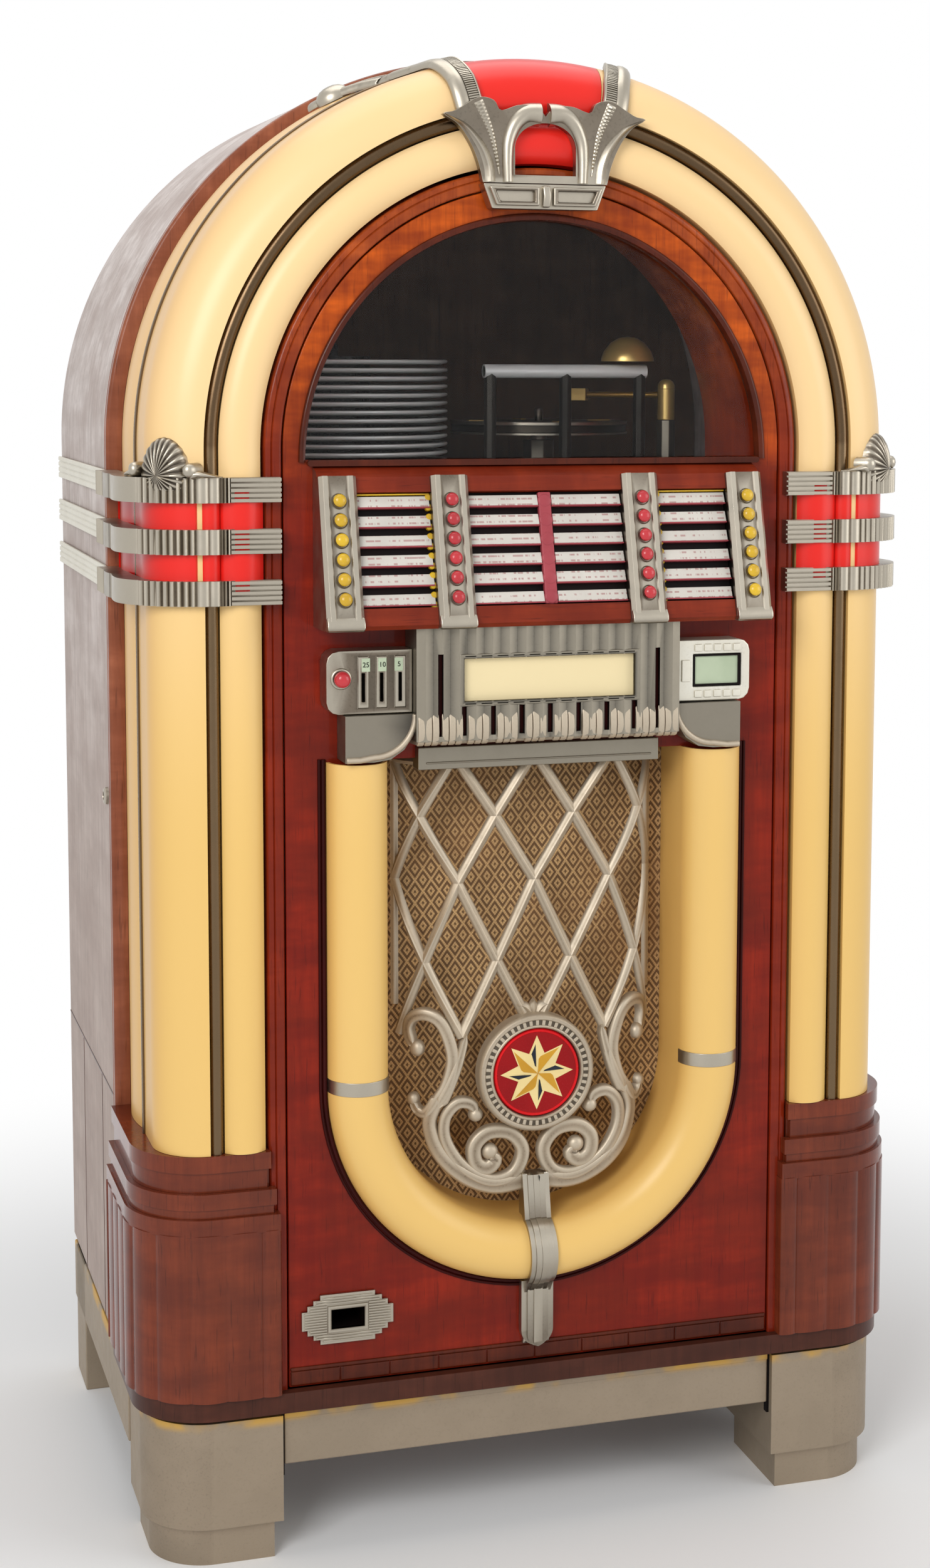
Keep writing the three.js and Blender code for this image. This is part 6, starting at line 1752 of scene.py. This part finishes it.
@dataclass
class Nameplate:
    """The pleated casting under the selector, with the coin entry and the sign on either side."""

    half: float = 136.5
    front: float = -46.0
    panel: float = 88.0
    panel_low: float = 868.5
    panel_high: float = 910.5

    def build(self) -> None:
        """Builds every piece of the nameplate, the coin entry and the sign."""
        self.casting()
        self.window()
        self.coin_entry()
        self.sign()

    def casting(self) -> None:
        """Builds the casting with a raised frame round its panel."""
        form = Form.of_node("nameplate_casting")
        form.mark(1, lambda spot, normal: abs(spot.x) > self.half and normal.y < -0.5)
        form.mark(2, lambda spot, normal: abs(spot.x) < self.half and (spot.z < 833 or normal.z < -0.4))
        form.finish("nameplate_shell", "front_door", [LOOKS.steel, LOOKS.slate, LOOKS.plate], "steel",
                    "nameplate_casting", 0.7, 2, 22)
        teeth = Form()
        curl = [(-43, 858), (-45.6, 851), (-46.4, 840), (-45.4, 832), (-42, 827), (-37, 825), (-36.5, 829), (-40, 832),
                (-42, 838), (-42, 855)]
        for side in (-1, 1):
            line = [*arc(side * 176, 857, 41, 180 if side > 0 else 360, 270, 16), (side * 190, 813.8),
                    (side * 204, 813.8)]
            frames = path_frames(spaced(line, 40), [1.0] * 41)
            teeth.sweep(bar_section(ROUND, 6.5, 4), [shift(y=-39) @ f for f in frames], ring=True)
        gaps = [88 / 3 * (k + 0.5) for k in range(-3, 3)] + [-100.0, 100.0, -124.0, 124.0]
        for gap in gaps:
            for x in (gap - 7.2, gap, gap + 7.2):
                teeth.prism(Plane.SIDE, curl, x - 3.3, x + 3.3)
        teeth.finish("nameplate_teeth", "front_door", LOOKS.grille, "steel", "nameplate_casting", 1.2, 3)
        border = Form()
        outer = box_line(self.panel + 5, self.panel_low - 4.5, self.panel_high + 4.5)
        inner = box_line(self.panel, self.panel_low, self.panel_high)
        border.prism(Plane.FRONT, outer, self.front, self.front + 4, [inner])
        for x in range(-5, 6):
            for z in (864.8, 911.4):
                border.block((x * 16.4 - 6.4, -46, z), (x * 16.4 + 6.4, -44, z + 2.8))
        border.finish("panel_frame", "front_door", LOOKS.steel, "nickel", "nameplate_casting", 0.9, 2)
        liner = Form()
        for low, high, tops in ((-95, 95, 864), (-117, -106, 918), (106, 117, 918)):
            liner.block((low, -39, 834), (high, -37.4, tops))
        liner.finish("slot_liner", "front_door", LOOKS.maroon, "red_plastic")

    def window(self) -> None:
        """Builds the bare lit panel."""
        form = Form()
        form.block((-92.6, -39.3, 866), (92.6, -36.3, 913))
        form.finish("lit_window", "front_door", LOOKS.lit_panel, "cream_plastic", "nameplate_window", 0.4, 2)

    def coin_entry(self) -> None:
        """Builds the coin entry with its slot plates and the button that gives coins back."""
        form = Form.of_node("coin_entry")
        form.finish("coin_housing", "front_door", LOOKS.nickel, "nickel", "coin_entry", 1.4, 3, 40)
        plates = Form()
        figures = (("5", -150.4), ("10", -167.0), ("25", -183.4))
        for _, x in figures:
            plates.block((x - 4.2, -32.2, 899.4), (x + 4.2, -29.6, 912.6))
        plates.finish("slot_plates", "front_door", LOOKS.green, "sign", bevel=0.5, segments=2)
        for text, x in figures:
            self.figure(text, x)
        button = Form()
        button.turn([(0, -8), (2.4, -7.8), (4.8, -7), (6.8, -5), (7.8, -2.6), (8, 0), (4.2, 0), (4.2, 15), (0, 15)],
                    (-207.6, -35.3, 893), Turn.DEEP, 40)
        button.finish("coin_back_button", "coin_return_button", LOOKS.ruby, "red_plastic", "coin_return_button",
                      sharp=50)
        collar = Form()
        collar.turn([(8.5, -29), (8.5, -31.6), (9.4, -31.6), (10.6, -30.4), (10.6, -29)], (-207.6, 0, 893),
                    Turn.DEEP, 40)
        collar.finish("button_collar", "front_door", LOOKS.nickel, "nickel", sharp=50)

    def figure(self, text: str, x: float) -> None:
        """Puts a plain number on a slot plate.

        Args:
            text: The number.
            x: Middle of the plate.
        """
        curve = bpy.data.curves.new(f"figure_{text}", "FONT")
        curve.body = text
        curve.size = 0.0068
        curve.extrude = 0.0002
        curve.align_x, curve.align_y = "CENTER", "CENTER"
        holder = bpy.data.objects.new("figure", curve)
        bpy.context.scene.collection.objects.link(holder)
        bpy.context.view_layer.update()
        data = bpy.data.meshes.new_from_object(holder.evaluated_get(bpy.context.evaluated_depsgraph_get()))
        bpy.data.objects.remove(holder)
        form = Form()
        form.mesh.from_mesh(data)
        form.lay(Matrix.Translation(at(x, -32.3, 906)) @ Matrix.Rotation(math.pi / 2, 4, "X"))
        form.finish(f"slot_figure_{text}", "front_door", LOOKS.dark, "dark_wood")

    def sign(self) -> None:
        """Builds the sign's frame, its bare panel and its border of small blocks."""
        form = Form.of_node("selection_sign")
        form.finish("sign_frame", "front_door", LOOKS.pale_nickel, "sign", "selection_sign", 1.4, 3, 40)
        panel = Form()
        panel.block((157.4, -26.6, 873.8), (206.2, -24.6, 904.2))
        panel.finish("sign_panel", "front_door", LOOKS.green, "sign", bevel=0.4, segments=2)
        rim = Form()
        rim.prism(Plane.FRONT, [(156.2, 872.9), (207.4, 872.9), (207.4, 905.1), (156.2, 905.1)], -28.4, -24.8,
                  [[(158.6, 875), (205, 875), (205, 903), (158.6, 903)]])
        rim.finish("sign_border", "front_door", LOOKS.dark, "dark_wood", bevel=0.4, segments=2)
        tabs = Form()
        for i in range(5):
            x = 161 + i * 10.4
            for z in (861.6, 908.4):
                tabs.block((x - 4, -31.6, z), (x + 4, -29.4, z + 7.4))
        tabs.block((143, -31.8, 878), (152, -29.4, 900))
        tabs.finish("sign_tabs", "front_door", LOOKS.pale_nickel, "nickel", bevel=0.8, segments=2)


@dataclass
class CoinReturn:
    """The stepped plate over the coin return cup."""

    x: float = -197.5
    z: float = 244.0
    half: float = 47.0
    tall: float = 51.0

    def build(self) -> None:
        """Builds the plate with its flutes and the cup behind it, painted dark as the shade inside."""
        quarter: list[Point] = []
        widths, heights = (1, 0.88, 0.75, 0.6), (0.38, 0.6, 0.8, 1)
        for i, (across, up) in enumerate(zip(widths, heights)):
            before = heights[i - 1] if i else 0
            quarter += [(across * self.half, before * self.tall / 2), (across * self.half, up * self.tall / 2)]
        quarter = quarter[1:]
        upper = [*quarter, *mirrored(reversed(quarter), -1)]
        outline = [*upper, *[(-x, -z) for x, z in upper]]
        mouth = box_line(17, -10, 10)
        form = Form()
        form.prism(Plane.FRONT, [(self.x + x, self.z + z) for x, z in outline], -3.6, -0.4,
                   [[(self.x + x, self.z + z) for x, z in mouth]])
        rim = box_line(20.5, -13.5, 13.5)
        form.prism(Plane.FRONT, [(self.x + x, self.z + z) for x, z in rim], -5, -3,
                   [[(self.x + x, self.z + z) for x, z in mouth]])
        for i in range(17):
            z = -22 + i * 2.75
            reach = self.half * next(w for w, h in zip(widths, heights) if abs(z) <= h * self.tall / 2) - 2.5
            inner = 21.5 if abs(z) < 14 else 0.0
            for side in (-1, 1):
                form.block((self.x + side * inner, -4.6, self.z + z - 0.8),
                           (self.x + side * reach, -3.2, self.z + z + 0.8))
        form.finish("return_plate", "front_door", LOOKS.nickel, "nickel", "coin_return_plate", 0.4, 2)
        # The cup is painted dark as the shade behind the mouth.
        cup = Form()
        for low, high in (((-19, -3, -12), (19, 46, -10)), ((-19, -3, 10), (19, 46, 12)),
                          ((-19, -3, -10), (-17, 46, 10)), ((17, -3, -10), (19, 46, 10)),
                          ((-17, 44, -10), (17, 46, 10))):
            cup.block((self.x + low[0], low[1], self.z + low[2]), (self.x + high[0], high[1], self.z + high[2]))
        cup.finish("return_cup_shade", "front_door", LOOKS.dark, "nickel", "coin_return_plate")


@dataclass
class Speaker:
    """The cloth-covered board behind the grille and the cone behind that."""

    half: float = 165.0
    top: float = 817.0
    front: float = 60.3
    back: float = 72.3
    cone_z: float = 600.0

    def build(self) -> None:
        """Builds the cloth and the cone."""
        form = Form()
        form.prism(Plane.FRONT, Door().u_line(self.half, self.top), self.front, self.back)
        form.finish("speaker_cloth", "front_door", LOOKS.cloth, "cloth", "speaker_board")
        cone = Form()
        cone.turn([(0, 72.4), (128, 72.4), (128, 79), (122, 82), (60, 122), (52, 127), (52, 152), (0, 152)],
                  (0, 0, self.cone_z), Turn.DEEP, 56)
        cone.finish("speaker_cone", "front_door", LOOKS.steel, "steel", "speaker_board", 1.2, 2)


@dataclass
class Changer:
    """The record changer behind the window."""

    stack_foot: float = 1032.6
    trays: int = 19
    tray_pitch: float = 9.0
    platter: float = 1118.0
    stack: Point = (-129.0, 345.0)
    table: Point = (110.0, 345.0)
    pivot: Point = (232.0, 260.0)

    def build(self) -> None:
        """Builds the deck, the stack, the turntable and the arm."""
        deck = Form.of_node("changer_frame")
        deck.finish("changer_deck", "cabinet", LOOKS.steel, "steel", "changer_frame", 1.0, 2, 40)
        discs = Form()
        x, y = self.stack
        tray = ((0, 0), (119, 0), (123, 1), (126, 1.6), (127, 3.2), (126.4, 5), (124, 5.6), (121, 4), (119, 3),
                (42, 3), (42, 9), (0, 9))
        for i in range(self.trays):
            low = self.stack_foot + self.tray_pitch * i
            discs.turn([(reach, low + up) for reach, up in tray], (x, y, 0), Turn.UPRIGHT, 72)
        low = self.stack_foot + self.tray_pitch * self.trays
        discs.turn([(0, low), (6, low), (6, low + 12), (4, low + 15), (0, low + 15)], (x, y, 0), Turn.UPRIGHT, 24)
        discs.mark(1, lambda spot, normal: math.hypot(spot.x - x, spot.y - y) > 120)
        discs.finish("record_discs", "cabinet", [LOOKS.shellac, LOOKS.tray], "disc", "record_stack", sharp=50)
        rail = Form()
        rail.turn([(0, 12), (7.4, 12), (7.4, 197), (0, 197)], (0, 232, 1188), Turn.ACROSS, 24)
        rail.finish("changer_rail", "cabinet", LOOKS.tray, "steel", "changer_frame", sharp=50)
        lamp = Form()
        lamp.turn([(0, 1226), (10, 1224.5), (19, 1219), (26, 1210), (29, 1202), (29, 1199), (0, 1199)], (176, 232, 0),
                  Turn.UPRIGHT, 48)
        lamp.finish("brass_dome", "cabinet", LOOKS.brass, "brass", sharp=50)
        table = Form()
        low = self.platter
        line = ((0, -7), (9, -7), (9, 0), (100, 0), (100, 2), (98.6, 3), (98.6, 10), (100, 11), (100, 14), (60, 14),
                (4.5, 14), (4.5, 26), (3, 28), (0, 28))
        table.turn([(reach, low + up) for reach, up in line], (*self.table, 0), Turn.UPRIGHT, 72)
        x, y = self.table
        table.mark(1, lambda spot, normal: normal.z > 0.9 and 4.6 < math.hypot(spot.x - x, spot.y - y) < 99)
        table.finish("platter", "turntable", [LOOKS.nickel, LOOKS.maroon], "steel", "turntable", sharp=40)
        strobe = Form()
        for i in range(4):
            pad = Form()
            pad.prism(Plane.PLAN, [(x + 58, y - 3), (x + 84, y - 5), (x + 84, y + 5), (x + 58, y + 3)], low + 13.8,
                      low + 15)
            pad.lay(about(at(*self.table, 0), 90 * i, "Z"))
            strobe.take(pad)
        strobe.finish("platter_pads", "turntable", LOOKS.brass, "brass", bevel=0.4, segments=2)
        arm = Form.of_node("tone_arm")
        arm.finish("pickup_arm", "tone_arm", LOOKS.brass, "brass", "tone_arm", 0.8, 3, 40)
        dome = Form()
        dome.turn([(0, 1169), (9.6, 1169), (9.4, 1173), (7.6, 1176.6), (4.4, 1178.8), (0, 1179.6)],
                  (*self.pivot, 0), Turn.UPRIGHT, 40)
        dome.finish("arm_cap", "tone_arm", LOOKS.brass, "brass", sharp=50)


@dataclass
class Base:
    """The rails and the apron under the cabinet."""

    half: float = 400.0
    apron: float = 261.5
    top: float = 149.5
    rail_top: float = 152.0
    rear: float = 561.0

    def build(self) -> None:
        """Builds the dark plate painted as the shadow gap under the cabinet, the rails, the rear feet and the bead
        along the apron.
        """
        plan = corner_plan(self.half - 6, 1, 63, 0, self.rear)[2:]
        # The plate is painted dark as the shadow gap between the cabinet, the apron and the feet.
        plate = Form()
        plate.prism(Plane.PLAN, [*mirrored(plan, -1), *reversed(plan)], self.top + 0.3, 154.6,
                    [box_line(300, 100, 460)])
        form = Form()
        form.block((-self.apron, 4, 95.5), (self.apron, 18, self.top))
        for side in (-1, 1):
            plate.block((side * (self.apron - 0.1), 4.6, 84), (side * 264.2, 12, self.top + 0.4))
            form.block((side * (self.half - 14), 128.7, 84), (side * self.half, self.rear, self.rail_top))
            form.block((side * (self.half - 90), 471.5, 0), (side * self.half, self.rear - 16, self.rail_top))
        plate.finish("shadow_gap_plate", "cabinet", LOOKS.dark, "dark_wood", "base_rails")
        form.finish("base_frame", "cabinet", LOOKS.foot, "dull_nickel", "base_rails", 1.6, 3, 40)
        line = Form()
        line.block((-self.apron, 3.2, 143), (self.apron, 5, 149))
        line.finish("apron_bead", "cabinet", LOOKS.foot, "dull_nickel", bevel=0.8, segments=3)


@dataclass
class Studio:
    """The camera, the floor and the lights.

    Attributes:
        eye: Place of the camera in metres.
        yaw: Turn of the view to the right, in degrees.
        pitch: Tilt of the view, upwards positive.
        roll: Turn of the picture.
        focal: Focal length in pixels of the picture.
        size: Width and height of the picture.
        centre: Point of the picture that the camera's axis meets.
    """

    eye: tuple[float, float, float] = (-0.7495, -2.3654, 1.1963)
    yaw: float = 17.293
    pitch: float = -6.060
    roll: float = 0.183
    focal: float = 3986.1
    size: tuple[int, int] = (1484, 2502)
    centre: tuple[float, float] = (837.0, 1003.2)

    def build(self) -> None:
        """Builds the camera, the floor, the lights and the sky."""
        self.camera()
        self.floor()
        self.lights()
        self.sky()

    def camera(self) -> None:
        """Places the camera where the picture was taken."""
        data = bpy.data.cameras.new("camera")
        data.sensor_width = 36
        data.lens = self.focal * data.sensor_width / self.size[1]
        data.shift_x = (self.size[0] / 2 - self.centre[0]) / self.size[1]
        data.shift_y = (self.centre[1] - self.size[1] / 2) / self.size[1]
        camera = bpy.data.objects.new("camera", data)
        turn = (Matrix.Rotation(math.radians(-self.yaw), 4, "Z")
                @ Matrix.Rotation(math.radians(90 + self.pitch), 4, "X")
                @ Matrix.Rotation(math.radians(self.roll), 4, "Z"))
        camera.matrix_world = Matrix.Translation(Vector(self.eye) + Vector((0, DOOR_Y, 0))) @ turn
        bpy.context.scene.collection.objects.link(camera)
        bpy.context.scene.camera = camera

    def floor(self) -> None:
        """Lays a pale floor that fades to white far from the machine."""
        mesh = bmesh.new()
        bmesh.ops.create_grid(mesh, x_segments=1, y_segments=1, size=30)
        data = bpy.data.meshes.new("floor")
        mesh.to_mesh(data)
        mesh.free()
        material = bpy.data.materials.new("floor")
        material.use_nodes = True
        nodes = Nodes(material.node_tree)
        shader = nodes.add("BsdfPrincipled", {"Base Color": (0.93, 0.93, 0.93, 1), "Roughness": 0.6})
        white = nodes.add("Emission", {"Color": (1, 1, 1, 1), "Strength": 1.0})
        reach = nodes.add("VectorMath", {0: nodes.place()}, operation="LENGTH").outputs["Value"]
        far = nodes.span(reach, 0.55, 1.5)
        share = nodes.times(far, self.seen(nodes))
        both = nodes.add("MixShader", {0: share, 1: shader.outputs[0], 2: white.outputs[0]})
        nodes.add("OutputMaterial", {"Surface": both.outputs[0]})
        data.materials.append(material)
        floor = bpy.data.objects.new("floor", data)
        bpy.context.scene.collection.objects.link(floor)

    @staticmethod
    def seen(nodes: Nodes) -> Socket:
        """Returns 1 for what the camera, gloss and glass see, and 0 for plain light."""
        path = nodes.add("LightPath").outputs
        rays = nodes.math("MAXIMUM", path["Is Camera Ray"], path["Is Glossy Ray"])
        return nodes.math("MAXIMUM", rays, path["Is Transmission Ray"])

    def lights(self) -> None:
        """Hangs three large soft lamps."""
        for name, place, size, watts in (
                ("key", (-2.4, -3.0, 2.6), 1.8, 86), ("fill", (2.8, -2.2, 1.8), 2.2, 34),
                ("top", (0.0, 0.4, 3.6), 2.4, 34)):
            data = bpy.data.lights.new(name, "AREA")
            data.energy = watts
            data.size = size
            lamp = bpy.data.objects.new(name, data)
            lamp.location = place
            lamp.rotation_euler = (Vector((0, 0, 0.8)) - Vector(place)).to_track_quat("-Z", "Y").to_euler()
            bpy.context.scene.collection.objects.link(lamp)

    def sky(self) -> None:
        """Sets a white background over a soft grey light."""
        world = bpy.data.worlds.new("sky")
        world.use_nodes = True
        bpy.context.scene.world = world
        nodes = Nodes(world.node_tree)
        strength = nodes.math("MULTIPLY_ADD", self.seen(nodes), 0.62, 0.38)
        light = nodes.add("Background", {"Color": (1, 1, 1, 1), "Strength": strength})
        nodes.add("OutputWorld", {"Surface": light.outputs[0]})
        bpy.context.scene.view_settings.view_transform = "Standard"


def main() -> None:
    """Builds the machine and its studio."""
    logging.basicConfig(level=logging.INFO, format="%(name)s: %(message)s")
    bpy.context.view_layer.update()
    for assembly in (Studio(), Case(), Pilaster(-1), Pilaster(1), Crown(), Door(), UTube(), Grille(), Selector(),
                     Nameplate(), CoinReturn(), Speaker(), Changer(), Base()):
        assembly.build()
        LOG.info("%s built", type(assembly).__name__)


if __name__ == "__main__":
    main()
